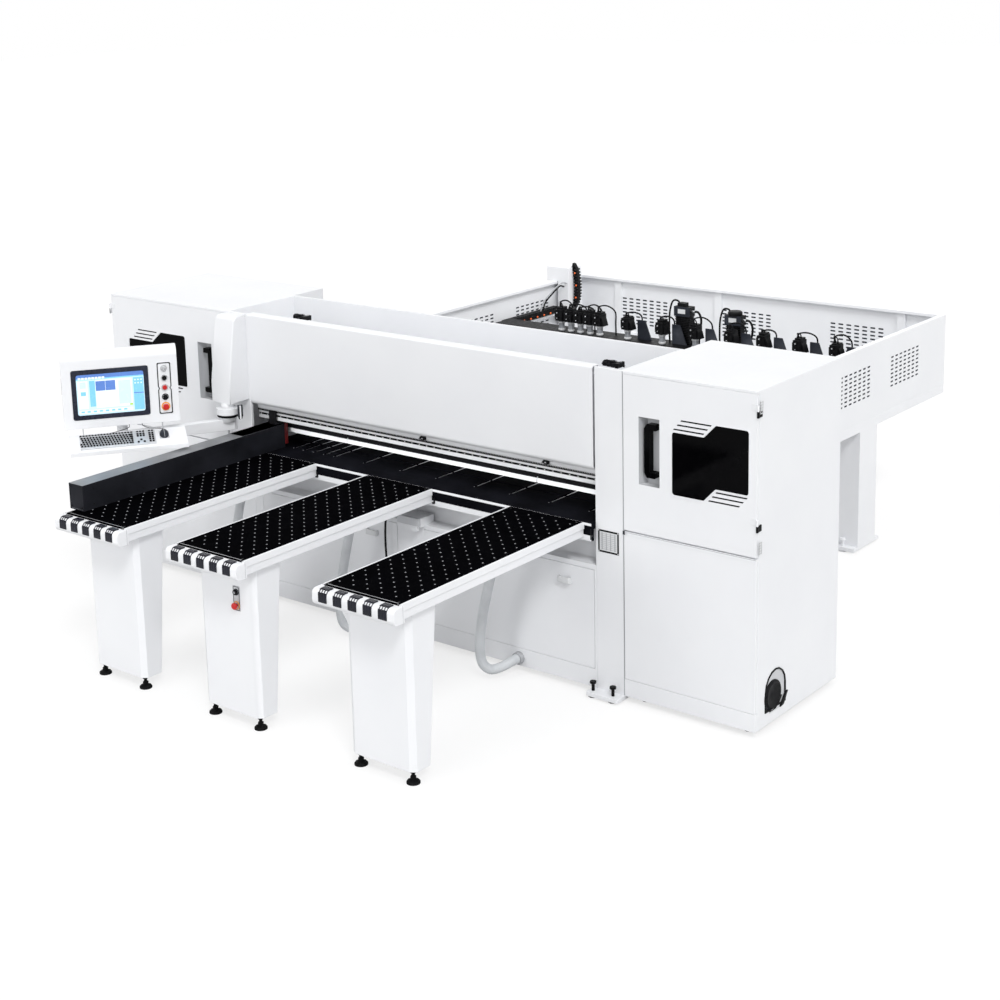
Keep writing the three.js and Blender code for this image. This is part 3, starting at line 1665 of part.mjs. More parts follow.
function sawBlade(x, z, radius, toothCount, flange) {
  const front = sawLine - bladeThickness / 2;
  const back = sawLine + bladeThickness / 2;
  const disc = alongY(toothedOutline(x, z, radius, toothCount), front, back);
  const seat = arborFront - fitGap;
  const hub = turnedY([
    [0, front - flangeThickness - nutThickness],
    [nutRadius, front - flangeThickness - nutThickness],
    [nutRadius, front - flangeThickness],
    [flange, front - flangeThickness],
    [flange, back + flangeThickness],
    [nutRadius, back + flangeThickness],
    [nutRadius, seat],
    [0, seat],
  ], x, z, 12);
  return disc.add(hub);
}

// Pusher: a box beam on the runways, with twelve grippers and two drive motors

const pusherFront = 3130;
const pusherBack = 3330;
const pusherBottom = 1090;
const pusherTop = 1290;
const pusherWall = 10;
const pusherShoeBottom = 1056;
const pusherShoeTop = 1150;
const shoePast = 10;
const armFront = 2430;
const armBottom = 1049;
const armTop = 1110;
const armHalf = 17;
const lowerFingerFront = 2350;
const lowerFingerTop = 1042;
const lowerFingerBottom = 1025;
const lowerFingerHalf = 5;
const jawBottom = 1084;
const jawTop = 1107;
const jawHalf = 12;
const jawNose = 10;
const cylinderRadius = 24;
const cylinderTop = 1382;
const valveWidth = 64;
const valveDepth = 90;
const valveTop = 1462;
const gussetWide = 120;
const gussetNarrow = 60;
const gussetPlate = 10;
const gussetHigh = 1440;
const motorShares = [0.5285, 0.3698];
const driveMotorWidth = 120;
const driveMotorTops = [1580, 1560];
const driveMotorDepth = 130;

function pusherShoe(outer, inward) {
  const beamInner = outer + inward * sideBeamWidth;
  const middle = beamInner - inward * (runwayWidth / 2);
  const half = runwayWidth / 2;
  const railTopFace = runwayTop + railHeight + fitGap;
  const body = block(middle - half, middle + half, pusherFront, pusherBack,
    pusherShoeBottom, pusherShoeTop);
  const link = block(middle, beamInner + inward * shoePast * 3, pusherFront, pusherBack,
    pusherBottom, pusherShoeTop);
  return cut(body, [
    block(middle - railWidth / 2 - fitGap, middle + railWidth / 2 + fitGap, pusherFront - cutOverrun,
      pusherBack + cutOverrun, pusherShoeBottom - cutOverrun, railTopFace),
  ]).add(link);
}

function lowerJaw(x) {
  return alongX([
    [lowerFingerFront, lowerFingerTop],
    [lowerFingerFront + jawNose, lowerFingerBottom],
    [armFront + jawNose * 2, lowerFingerBottom],
    [armFront + jawNose * 2, armTop - jawNose],
    [armFront + jawNose / 2, armTop - jawNose],
    [armFront + jawNose / 2, lowerFingerTop],
  ], x - lowerFingerHalf, x + lowerFingerHalf);
}

function upperJaw(x, back) {
  return alongX([
    [lowerFingerFront, jawBottom],
    [back, jawBottom],
    [back, jawTop],
    [lowerFingerFront + jawNose * 2, jawTop],
    [lowerFingerFront, jawBottom + jawNose],
  ], x - jawHalf, x + jawHalf);
}

// One gripper: the long arm under the beam, its lower finger, the clamp cylinder and the valve block.
function gripper(place, index) {
  const x = -place;
  const fixedJaw = index < apartSlotShares.length;
  const arm = block(x - armHalf, x + armHalf, armFront, pusherFront + pusherWall, armBottom, armTop);
  const bracket = alongX([
    [pusherFront - valveDepth, armTop - jawNose],
    [pusherFront + pusherWall / 2, armTop - jawNose],
    [pusherFront + pusherWall / 2, pusherTop],
    [pusherFront - valveDepth / 2, pusherTop],
  ], x - armHalf, x + armHalf);
  const cylinderY = pusherFront + cylinderRadius * 2;
  const cylinderProfile = discProfile(cylinderRadius, pusherTop - pusherWall / 2, cylinderTop);
  const cylinder = turned(cylinderProfile, x, cylinderY);
  const valve = block(x - valveWidth / 2, x + valveWidth / 2,
    cylinderY - valveDepth / 2, cylinderY + valveDepth / 2, cylinderTop - pusherWall, valveTop);
  const pieces = [arm, lowerJaw(x), bracket, cylinder, valve];
  if (fixedJaw) pieces.push(upperJaw(x, armFront + jawNose));
  return union(pieces);
}

// A tapered stiffener stands on the beam beside each gripper that is set apart.
function gripperGusset(place) {
  const x = -place + valveWidth;
  const points = [
    [x - gussetPlate, pusherTop - pusherWall / 2],
    [x + gussetWide, pusherTop - pusherWall / 2],
    [x + gussetNarrow, gussetHigh],
    [x - gussetPlate, gussetHigh],
  ];
  const middle = (pusherFront + pusherBack) / 2;
  return alongY(points, middle, middle + gussetPlate);
}

function driveMotor(place, top) {
  const middle = (pusherFront + pusherBack) / 2 + gussetPlate * 2;
  const body = block(-place - driveMotorWidth / 2, -place + driveMotorWidth / 2, middle,
    middle + driveMotorDepth / 2, pusherTop - pusherWall / 2, top - valveWidth);
  const head = block(-place - driveMotorWidth / 2 - pusherWall, -place + driveMotorWidth / 2 + pusherWall,
    middle - pusherWall, middle + driveMotorDepth / 2, top - valveWidth - pusherWall, top);
  return body.add(head);
}

function pusherBeam() {
  const xa = -guardInner + sideBeamWidth + shoePast;
  const xb = guardRight - sideBeamWidth - shoePast;
  const section = rectangle(pusherFront, pusherBack, pusherBottom, pusherTop);
  const bore = rectangle(pusherFront + pusherWall, pusherBack - pusherWall, pusherBottom + pusherWall,
    pusherTop - pusherWall);
  const apart = slotPlaces.slice(0, apartSlotShares.length);
  return union([
    alongX(section, xa, xb, [bore]),
    pusherShoe(guardRight, -1),
    pusherShoe(-guardInner, 1),
    ...slotPlaces.map(gripper),
    ...apart.map(gripperGusset),
    ...motorShares.map((share, index) => driveMotor(bedLength * share, driveMotorTops[index])),
  ]);
}

// Console: a swing arm on the housing's pivot, and the console that swivels at its end

const armHeadingDegrees = 242.3;
const consoleTurnDegrees = 53.2;
const swingReach = 701;
const swingWidth = 52;
const swingTail = 60;
const swingTop = 1266;
const swingBottom = 1190;
const pivotRingRadius = 70;
const pivotRingBottom = 1280;
const pivotDomeRadius = 52;
const pivotDomeBottom = 1246;
const swivelRadius = 35;
const consoleBottom = 1334;
const consoleTop = 1828;
const consoleLeft = 363;
const consoleRight = 364;
const consoleFront = 100;
const consoleBack = 40;
const consoleBullnose = 62;
const consoleWall = 4;
const swivelBore = 22;

// The arm lies along its own X, with the pivot at zero.
function swingArm() {
  const half = swingWidth / 2;
  const plan = rounded(rectangle(-swingTail, swingReach + swivelRadius, -half, half), half, 4);
  const bar = alongZ(plan, swingBottom, swingTop);
  const pivot = turned([
    [0, pivotDomeBottom],
    [pivotDomeRadius, pivotDomeBottom],
    [pivotDomeRadius, pivotRingBottom],
    [pivotRingRadius, pivotRingBottom],
    [pivotRingRadius, pivotDiscBottom - fitGap],
    [0, pivotDiscBottom - fitGap],
  ], 0, 0, 14);
  const postProfile = discProfile(swivelRadius, swingTop - half / 2, consoleBottom - fitGap);
  const post = turned(postProfile, swingReach, 0, 12);
  return union([bar, pivot, post]);
}

const bezelWidth = 482;
const bezelHeight = 323;
const bezelCentreX = -62;
const bezelCentreZ = 1552;
const bezelDepth = 14;
const bezelCorner = 12;
const screenMargin = 30;
const screenSink = 3;

function consoleProfile(inset) {
  const radius = consoleBullnose - inset;
  const crown = consoleTop - consoleBullnose;
  const front = -consoleFront + consoleBullnose;
  const backBend = consoleBack - consoleBullnose;
  return [
    [-consoleFront + inset, consoleBottom + inset],
    [consoleBack - inset, consoleBottom + inset],
    ...arc(backBend, crown, radius, 0, 90, 4),
    ...arc(front, crown, radius, 90, 180, 4),
  ];
}

function bezelOutline(inset) {
  const halfWidth = bezelWidth / 2 - inset;
  const halfHeight = bezelHeight / 2 - inset;
  return rounded(rectangle(bezelCentreX - halfWidth, bezelCentreX + halfWidth,
    bezelCentreZ - halfHeight, bezelCentreZ + halfHeight), bezelCorner, 2);
}

function consoleHousing() {
  const boreProfile = discProfile(swivelBore, consoleBottom - cutOverrun,
    consoleBottom + consoleWall + cutOverrun);
  const shell = cut(alongX(consoleProfile(0), -consoleLeft, consoleRight), [
    alongX(consoleProfile(consoleWall), -consoleLeft + consoleWall, consoleRight - consoleWall),
    turned(boreProfile, 0, 0),
    alongY(bezelOutline(-fitGap), -consoleFront - cutOverrun, -consoleFront + consoleWall + cutOverrun),
  ]);
  const holes = controlKinds.map((kind, index) => stemHole(controlPlaceX, controlHeights[index]));
  return cut(shell.add(controlPanel()), holes);
}

function monitor() {
  const back = -consoleFront + bezelDepth;
  const body = alongY(bezelOutline(0), -consoleFront - screenSink, back);
  const screen = alongY(bezelOutline(screenMargin), -consoleFront - screenSink - cutOverrun, -consoleFront);
  const flange = alongY(bezelOutline(-screenMargin / 2), -consoleFront + consoleWall + fitGap, back);
  return cut(body.add(flange), [screen]);
}

// Round controls: each has a stem through the panel and a cap that keeps its travel above the panel

const controlPlaceX = 278;
const topControlHeight = 1687;
const controlPitch = 62.5;
const controlKinds = ['grey_button', 'dark_button', 'red_button', 'selector_switch', 'console_stop_button'];
const controlHeights = controlKinds.map((kind, index) => topControlHeight - index * controlPitch);
const panelHalf = 45;
const controlPanelTop = 1727;
const controlPanelBottom = 1387;
const controlPanelRise = 3;
const stemRadius = 9;
const stemSides = 10;
const stemLength = 16;
const capRadiusButton = 15;
const capRise = 12;
const buttonTravel = 4;
const stopRadius = 20;
const stopRise = 24;
const stopNeck = 12;
const leverLength = 28;
const leverWidth = 8;

function controlPanel() {
  const plan = rounded(rectangle(controlPlaceX - panelHalf, controlPlaceX + panelHalf,
    controlPanelBottom, controlPanelTop), bezelCorner, 2);
  return alongY(plan, -consoleFront - controlPanelRise, -consoleFront + consoleWall / 2);
}

// The faceted stem turns freely in its hole.
const stemHoleRadius = (stemRadius + fitGap) / Math.cos(Math.PI / stemSides);

function stemHole(x, z) {
  const bore = discProfile(stemHoleRadius, -consoleFront - controlPanelRise - cutOverrun,
    -consoleFront + consoleWall + cutOverrun);
  return turnedY(bore, x, z, stemSides);
}

// Profiles run from the stem's inner end out to the cap, with the panel's face at zero and the front
// below zero.
function buttonProfile() {
  const lift = buttonTravel + fitGap;
  return [
    [0, -lift - capRise],
    [capRadiusButton - buttonTravel / 2, -lift - capRise],
    [capRadiusButton, -lift - capRise + buttonTravel / 2],
    [capRadiusButton, -lift],
    [stemRadius, -lift],
    [stemRadius, stemLength],
    [0, stemLength],
  ];
}

function stopProfile() {
  const lift = buttonTravel + fitGap;
  return [
    [0, -lift - stopRise],
    [stopRadius - buttonTravel, -lift - stopRise],
    [stopRadius, -lift - stopRise + buttonTravel],
    [stopRadius, -lift - stopNeck],
    [stopNeck, -lift],
    [stemRadius, -lift],
    [stemRadius, stemLength],
    [0, stemLength],
  ];
}

function shifted(profile, distance) {
  return profile.map(([r, h]) => [r, h + distance]);
}

function control(kind, x, face, z) {
  if (kind.includes('stop')) return turnedY(shifted(stopProfile(), face), x, z, stemSides);
  const knob = turnedY(shifted(buttonProfile(), face), x, z, stemSides);
  if (!kind.includes('selector')) return knob;
  const top = face - buttonTravel - capRise;
  return knob.add(block(x - leverWidth / 2, x + leverWidth / 2, top - leverWidth, top + leverWidth / 2,
    z - leverLength / 2, z + leverLength / 2));
}

// Keyboard tray below the console, with the keyboard and the mouse on it

const trayLeft = 341;
const trayRight = 389;
const trayBackTop = 1296;
const trayDepth = 250;
const trayDrop = 60;
const trayThickness = 14;
const trayLip = 10;
const trayBracketThickness = 6;
const trayBracketPlace = 250;
const keyboardLeft = 277;
const keyboardRight = 193;
const keyboardDepth = 160;
const keyboardThickness = 16;
const keyboardBackGap = 40;
const mouseX = 250;
const mouseHalf = 30;
const mouseLength = 100;
const mouseHeight = 30;

// Height of the tray's top face at a distance in front of the console's face.
function trayHeight(distance) {
  return trayBackTop - (trayDrop * distance) / trayDepth;
}

function onTray(distance, rise) {
  return [-consoleFront - distance, trayHeight(distance) + rise];
}

function keyboardTray() {
  const board = alongX([
    onTray(0, -trayThickness),
    onTray(0, 0),
    onTray(trayDepth - trayLip, 0),
    onTray(trayDepth - trayLip, trayLip),
    onTray(trayDepth, trayLip),
    onTray(trayDepth, -trayThickness),
  ], -trayLeft, trayRight);
  const keyboard = alongX([
    onTray(keyboardBackGap, -trayThickness / 2),
    onTray(keyboardBackGap, keyboardThickness),
    onTray(keyboardBackGap + keyboardDepth, keyboardThickness / 2),
    onTray(keyboardBackGap + keyboardDepth, -trayThickness / 2),
  ], -keyboardLeft, keyboardRight);
  const mouse = alongX([
    onTray(keyboardBackGap, -trayThickness / 2),
    onTray(keyboardBackGap, mouseHeight / 2),
    onTray(keyboardBackGap + mouseLength / 3, mouseHeight),
    onTray(keyboardBackGap + mouseLength, mouseHeight / 3),
    onTray(keyboardBackGap + mouseLength, -trayThickness / 2),
  ], mouseX - mouseHalf, mouseX + mouseHalf);
  const brackets = [-trayBracketPlace, trayBracketPlace].map((x) => alongX([
    [-consoleFront - trayLip, trayBackTop - trayThickness],
    [-consoleFront - trayLip, consoleBottom - fitGap],
    [-consoleFront + trayDepth / 4, consoleBottom - fitGap],
    [-consoleFront + trayLip, trayBackTop - trayThickness],
  ], x - trayBracketThickness / 2, x + trayBracketThickness / 2));
  return union([board, keyboard, mouse, ...brackets]);
}

// Control plate on the middle leg

const legPlateWidth = 52;
const legPlateOffset = 84;
const legPlateTop = 835;
const legPlateBottom = 690;
const legPlateRise = 3;
const legButtonX = -tableCentres[1] + legPlateOffset;
const legButtonHeight = 800;
const legStopHeight = 722;

function legWithControls(index) {
  const face = -legFront;
  const plate = block(legButtonX - legPlateWidth / 2, legButtonX + legPlateWidth / 2, face - legPlateRise,
    face + legSheet / 2, legPlateBottom, legPlateTop);
  const bore = discProfile(stemHoleRadius, face - legPlateRise - cutOverrun, face + legSheet + cutOverrun);
  return cut(tableLeg(index).add(plate), [
    turnedY(bore, legButtonX, legButtonHeight, stemSides),
    turnedY(bore, legButtonX, legStopHeight, stemSides),
  ]);
}

// Assembly

addPart('right_post', post(1), white);
addPart('left_post', post(-1), white);
addPart('base_frame', baseFrame(), white);
addPart('base_left_panel', basePanel(leftPanelStart, leftPanelEnd), white);
addPart('base_right_panel', basePanel(rightPanelStart, rightPanelEnd), white);
addPart('beam_girder', beamGirder(), white);
addPart('beam_front_cover', beamCover(), white);
addPart('main_table', mainTable(), black);
addPart('rear_table', rearTable(), black);
addPart('right_cabinet', rightCabinetShell(), white);
addPart('right_lower_panel', lowerPanel(rightCabinet), white);
addPart('right_door', upperDoor(rightCabinet), white);
addPart('right_door_window', doorWindow(rightCabinet), smokedPane);
addPart('extraction_port', extractionPort(), black);
addPart('left_cabinet', cabinetShell(leftCabinet), white);
addPart('left_lower_panel', lowerPanel(leftCabinet), white);
addPart('left_door', upperDoor(leftCabinet), white);
addPart('left_door_window', doorWindow(leftCabinet), smokedPane);
addPart('column_housing', columnHousing(), white);

tableCentres.forEach((centre, index) => {
  const number = index + 1;
  addPart(`air_table_${number}_frame`, tableFrame(index), white);
  addPart(`air_table_${number}_plate`, tablePlate(index), black);
  addPart(`air_hose_${number}`, ribbedHose(index), hoseGrey);
});
addPart('table_leg_1', tableLeg(0), white);
addPart('table_leg_2', legWithControls(1), white);
addPart('table_leg_3', tableLeg(2).add(legGusset(2)), white);
const legFace = -legFront - legPlateRise;
addPart('leg_button', control('leg_button', legButtonX, legFace, legButtonHeight), grey);
addPart('leg_stop_button', control('leg_stop_button', legButtonX, legFace, legStopHeight), red);

addPart('fence', fence(), darkSteel);
addPart('back_guard', backGuard(), white);
addPart('right_guard', rightGuard(), white);
addPart('left_guard', leftGuard(), white);
addPart('rear_frame', rearFrame(), white);
addPart('cable_pillar', cablePillar(), white);

addPart('pressure_beam', pressureBeam(), aluminium);
addPart('side_aligner', sideAligner(), red);
addPart('saw_carriage', sawCarriage(), darkSteel);
addPart('saw_unit', sawUnit(), darkSteel);
const mainBlade = sawBlade(mainBladeX, arborHeight, mainBladeRadius, mainToothCount, flangeRadius);
const scoringBlade = sawBlade(mainBladeX - scoringOffset, scoringArborHeight, scoringBladeRadius,
  scoringToothCount, nutRadius * 2);
addPart('main_blade', mainBlade, brightSteel);
addPart('scoring_blade', scoringBlade, brightSteel);
addPart('pusher_beam', pusherBeam(), darkSteel);
slotPlaces.slice(-closeSlotCount).forEach((place, index) => {
  addPart(`gripper_jaw_${index + 1}`, upperJaw(-place, armFront - fitGap), brightSteel);
});

const armGroup = new THREE.Group();
armGroup.position.set(pivotX, -pivotReach, 0);
armGroup.rotation.z = THREE.MathUtils.degToRad(armHeadingDegrees);
machine.add(armGroup);
addPart('swing_arm', swingArm(), white, armGroup);

const consoleGroup = new THREE.Group();
consoleGroup.position.set(swingReach, 0, 0);
consoleGroup.rotation.z = THREE.MathUtils.degToRad(consoleTurnDegrees - armHeadingDegrees);
armGroup.add(consoleGroup);
addPart('console_housing', consoleHousing(), white, consoleGroup);
addPart('monitor', monitor(), black, consoleGroup);
addPart('keyboard_tray', keyboardTray(), white, consoleGroup);
const panelFace = -consoleFront - controlPanelRise;
const controlMaterials = [grey, black, red, black, red];
controlKinds.forEach((kind, index) => {
  const piece = control(kind, controlPlaceX, panelFace, controlHeights[index]);
  addPart(kind, piece, controlMaterials[index], consoleGroup);
});

// The origin lies on the floor under the middle of the machine.
machine.updateMatrixWorld(true);
const bounds = new THREE.Box3().setFromObject(machine, true);
const middle = bounds.getCenter(new THREE.Vector3());
machine.position.set(-middle.x, -middle.y, -bounds.min.z);

export default machine;
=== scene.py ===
import json
import math

import bmesh
import bpy
import numpy as np
from mathutils import Matrix, Vector


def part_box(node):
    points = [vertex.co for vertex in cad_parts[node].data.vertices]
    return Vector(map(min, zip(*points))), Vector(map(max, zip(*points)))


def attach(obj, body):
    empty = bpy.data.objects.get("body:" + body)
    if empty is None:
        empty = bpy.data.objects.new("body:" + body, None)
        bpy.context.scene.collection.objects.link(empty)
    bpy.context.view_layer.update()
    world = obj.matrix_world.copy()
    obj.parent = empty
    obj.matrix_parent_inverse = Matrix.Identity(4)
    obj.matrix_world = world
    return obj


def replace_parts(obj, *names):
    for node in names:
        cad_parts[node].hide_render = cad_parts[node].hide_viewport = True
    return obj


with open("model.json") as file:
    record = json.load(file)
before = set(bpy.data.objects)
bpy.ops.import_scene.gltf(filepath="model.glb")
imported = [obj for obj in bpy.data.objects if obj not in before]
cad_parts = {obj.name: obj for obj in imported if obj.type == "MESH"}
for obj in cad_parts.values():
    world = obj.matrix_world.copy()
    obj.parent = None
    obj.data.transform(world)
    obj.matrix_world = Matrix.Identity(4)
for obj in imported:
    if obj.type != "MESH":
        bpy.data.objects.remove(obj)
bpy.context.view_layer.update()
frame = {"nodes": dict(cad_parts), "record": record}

# Places are in millimetres from the machine's zero: the inner edge of the right post, the front faces of
# the posts, and the floor.
metre = 0.001
endGap = 0.3
tableFront = -43.0
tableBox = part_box("main_table")
machineZero = np.array((tableBox[1].x + endGap * metre, tableBox[0].y - tableFront * metre, 0.0))
bedLength = 2772.0
tableTop = 1046.0
bodyOf = {node: body for body, nodes in frame["record"]["behaviour"]["bodies"].items() for node in nodes}


# A thousandth of the machine's millimetres, from the machine's zero, in the frame's metres.
def inRow(places):
    return np.asarray(places, float) * metre + machineZero


# The way back: metres from the machine's zero, as millimetres.
def inMachine(places):
    return (np.asarray(places, float) - machineZero) / metre


# The console stands at the end of the swing arm and faces forward and to the right.
armHeading = math.radians(242.3)
consoleTurn = math.radians(53.2)
pivotPlace = np.array((-2850.0, -137.0, 0.0))
swingReach = 701.0
consoleZero = pivotPlace + swingReach * np.array((math.cos(armHeading), math.sin(armHeading), 0.0))
consoleAxes = np.array((
    (math.cos(consoleTurn), math.sin(consoleTurn), 0.0),
    (-math.sin(consoleTurn), math.cos(consoleTurn), 0.0),
    (0.0, 0.0, 1.0),
))


# Lengths along the console's three axes, added up from the console's zero.
def fromConsole(places):
    return np.asarray(places, float) @ consoleAxes + consoleZero


# The way back: what lies along each of the console's axes from its zero.
def toConsole(places):
    return (np.asarray(places, float) - consoleZero) @ consoleAxes.T


# Camera

view = {
    "place": (7.0615, -9.2205, 4.224),
    "azimuth": math.radians(39.305),
    "elevation": math.radians(12.156),
    "roll": math.radians(-1.521),
    "lens": 63.49,
    "sensor": 36.0,
    "shift": (0.0335, -0.1669),
}


# The camera looks along minus (sin a cos e, -cos a cos e, sin e) and is rolled about that line.
def makeCamera():
    data = bpy.data.cameras.new("photoCamera")
    data.lens = view["lens"]
    data.sensor_width = view["sensor"]
    data.shift_x, data.shift_y = view["shift"]
    data.clip_end = 100.0
    a, e, r = view["azimuth"], view["elevation"], view["roll"]
    forward = np.array((-math.sin(a) * math.cos(e), math.cos(a) * math.cos(e), -math.sin(e)))
    level = np.array((math.cos(a), math.sin(a), 0.0))
    upright = np.cross(level, forward)
    right = math.cos(r) * level + math.sin(r) * upright
    up = np.cross(right, forward)
    camera = bpy.data.objects.new("photoCamera", data)
    axes = Matrix((right, up, -forward)).transposed().to_4x4()
    axes.translation = view["place"]
    camera.matrix_world = axes
    bpy.context.scene.collection.objects.link(camera)
    bpy.context.scene.camera = camera


makeCamera()
print("camera placed")

# Finishes


# A new node with the given settings.
def addNode(tree, kind, **values):
    node = tree.nodes.new(kind)
    for name, value in values.items():
        setattr(node, name, value)
    return node


# A new socket of a group, with its value where it has one.
def addSocket(group, name, direction, kind, value=None):
    socket = group.interface.new_socket(name=name, in_out=direction, socket_type=kind)
    if value is not None:
        socket.default_value = value
    return socket


noises = {"low": 0.3, "high": 0.7, "middleScale": 34.0, "details": (5.0, 6.0, 2.0)}


# The finish group mixes two tones by a broad noise, roughens by a middle one and raises a fine grain.
def finishGroup():
    group = bpy.data.node_groups.new("finish", "ShaderNodeTree")
    addSocket(group, "Light", "INPUT", "NodeSocketColor", (0.8, 0.8, 0.8, 1.0))
    addSocket(group, "Dark", "INPUT", "NodeSocketColor", (0.7, 0.7, 0.7, 1.0))
    addSocket(group, "Smoothest", "INPUT", "NodeSocketFloat", 0.3)
    addSocket(group, "Roughest", "INPUT", "NodeSocketFloat", 0.5)
    addSocket(group, "Stretch", "INPUT", "NodeSocketVector", (1.0, 1.0, 1.0))
    addSocket(group, "Grain", "INPUT", "NodeSocketFloat", 600.0)
    addSocket(group, "Depth", "INPUT", "NodeSocketFloat", 0.0001)
    addSocket(group, "Broad", "INPUT", "NodeSocketFloat", 2.0)
    addSocket(group, "Color", "OUTPUT", "NodeSocketColor")
    addSocket(group, "Roughness", "OUTPUT", "NodeSocketFloat")
    addSocket(group, "Normal", "OUTPUT", "NodeSocketVector")
    given = addNode(group, "NodeGroupInput")
    result = addNode(group, "NodeGroupOutput")
    places = addNode(group, "ShaderNodeTexCoord")
    stretched = addNode(group, "ShaderNodeVectorMath", operation="MULTIPLY")
    broad = addNode(group, "ShaderNodeTexNoise")
    middle = addNode(group, "ShaderNodeTexNoise")
    fine = addNode(group, "ShaderNodeTexNoise")
    middle.inputs["Scale"].default_value = noises["middleScale"]
    for noise, detail in zip((broad, middle, fine), noises["details"]):
        noise.inputs["Detail"].default_value = detail
    spread = addNode(group, "ShaderNodeMapRange")
    tone = addNode(group, "ShaderNodeMix", data_type="RGBA")
    rough = addNode(group, "ShaderNodeMapRange")
    for scale in (spread, rough):
        scale.inputs["From Min"].default_value = noises["low"]
        scale.inputs["From Max"].default_value = noises["high"]
    bump = addNode(group, "ShaderNodeBump")
    bump.inputs["Strength"].default_value = 1.0
    link = group.links.new
    link(places.outputs["Object"], stretched.inputs[0])
    link(given.outputs["Stretch"], stretched.inputs[1])
    link(places.outputs["Object"], broad.inputs["Vector"])
    link(given.outputs["Broad"], broad.inputs["Scale"])
    link(stretched.outputs["Vector"], middle.inputs["Vector"])
    link(stretched.outputs["Vector"], fine.inputs["Vector"])
    link(given.outputs["Grain"], fine.inputs["Scale"])
    link(broad.outputs["Fac"], spread.inputs["Value"])
    link(spread.outputs["Result"], tone.inputs["Factor"])
    link(given.outputs["Dark"], tone.inputs["A"])
    link(given.outputs["Light"], tone.inputs["B"])
    link(middle.outputs["Fac"], rough.inputs["Value"])
    link(given.outputs["Smoothest"], rough.inputs["To Min"])
    link(given.outputs["Roughest"], rough.inputs["To Max"])
    link(fine.outputs["Fac"], bump.inputs["Height"])
    link(given.outputs["Depth"], bump.inputs["Distance"])
    link(tone.outputs["Result"], result.inputs["Color"])
    link(rough.outputs["Result"], result.inputs["Roughness"])
    link(bump.outputs["Normal"], result.inputs["Normal"])
    return group


sharedFinish = finishGroup()


# A finish takes colour, roughness and normal from the group, and its plain numbers are on the shader's
# own sockets.
def addFinish(name, light, dark, rough, grain=600.0, depth=0.00005, stretch=(1.0, 1.0, 1.0), broad=2.0,
              metallic=0.0, specular=0.5, coat=0.0, glow=0.0):
    material = bpy.data.materials.new(name)
    material.use_nodes = True
    tree = material.node_tree
    shader = tree.nodes["Principled BSDF"]
    finish = addNode(tree, "ShaderNodeGroup", node_tree=sharedFinish)
    finish.inputs["Light"].default_value = (*light, 1.0)
    finish.inputs["Dark"].default_value = (*dark, 1.0)
    finish.inputs["Smoothest"].default_value = rough[0]
    finish.inputs["Roughest"].default_value = rough[1]
    finish.inputs["Stretch"].default_value = stretch
    finish.inputs["Grain"].default_value = grain
    finish.inputs["Depth"].default_value = depth
    finish.inputs["Broad"].default_value = broad
    shader.inputs["Metallic"].default_value = metallic
    shader.inputs["Specular IOR Level"].default_value = specular
    shader.inputs["Coat Weight"].default_value = coat
    tree.links.new(finish.outputs["Color"], shader.inputs["Base Color"])
    tree.links.new(finish.outputs["Roughness"], shader.inputs["Roughness"])
    tree.links.new(finish.outputs["Normal"], shader.inputs["Normal"])
    if glow:
        tree.links.new(finish.outputs["Color"], shader.inputs["Emission Color"])
        shader.inputs["Emission Strength"].default_value = glow
    return material


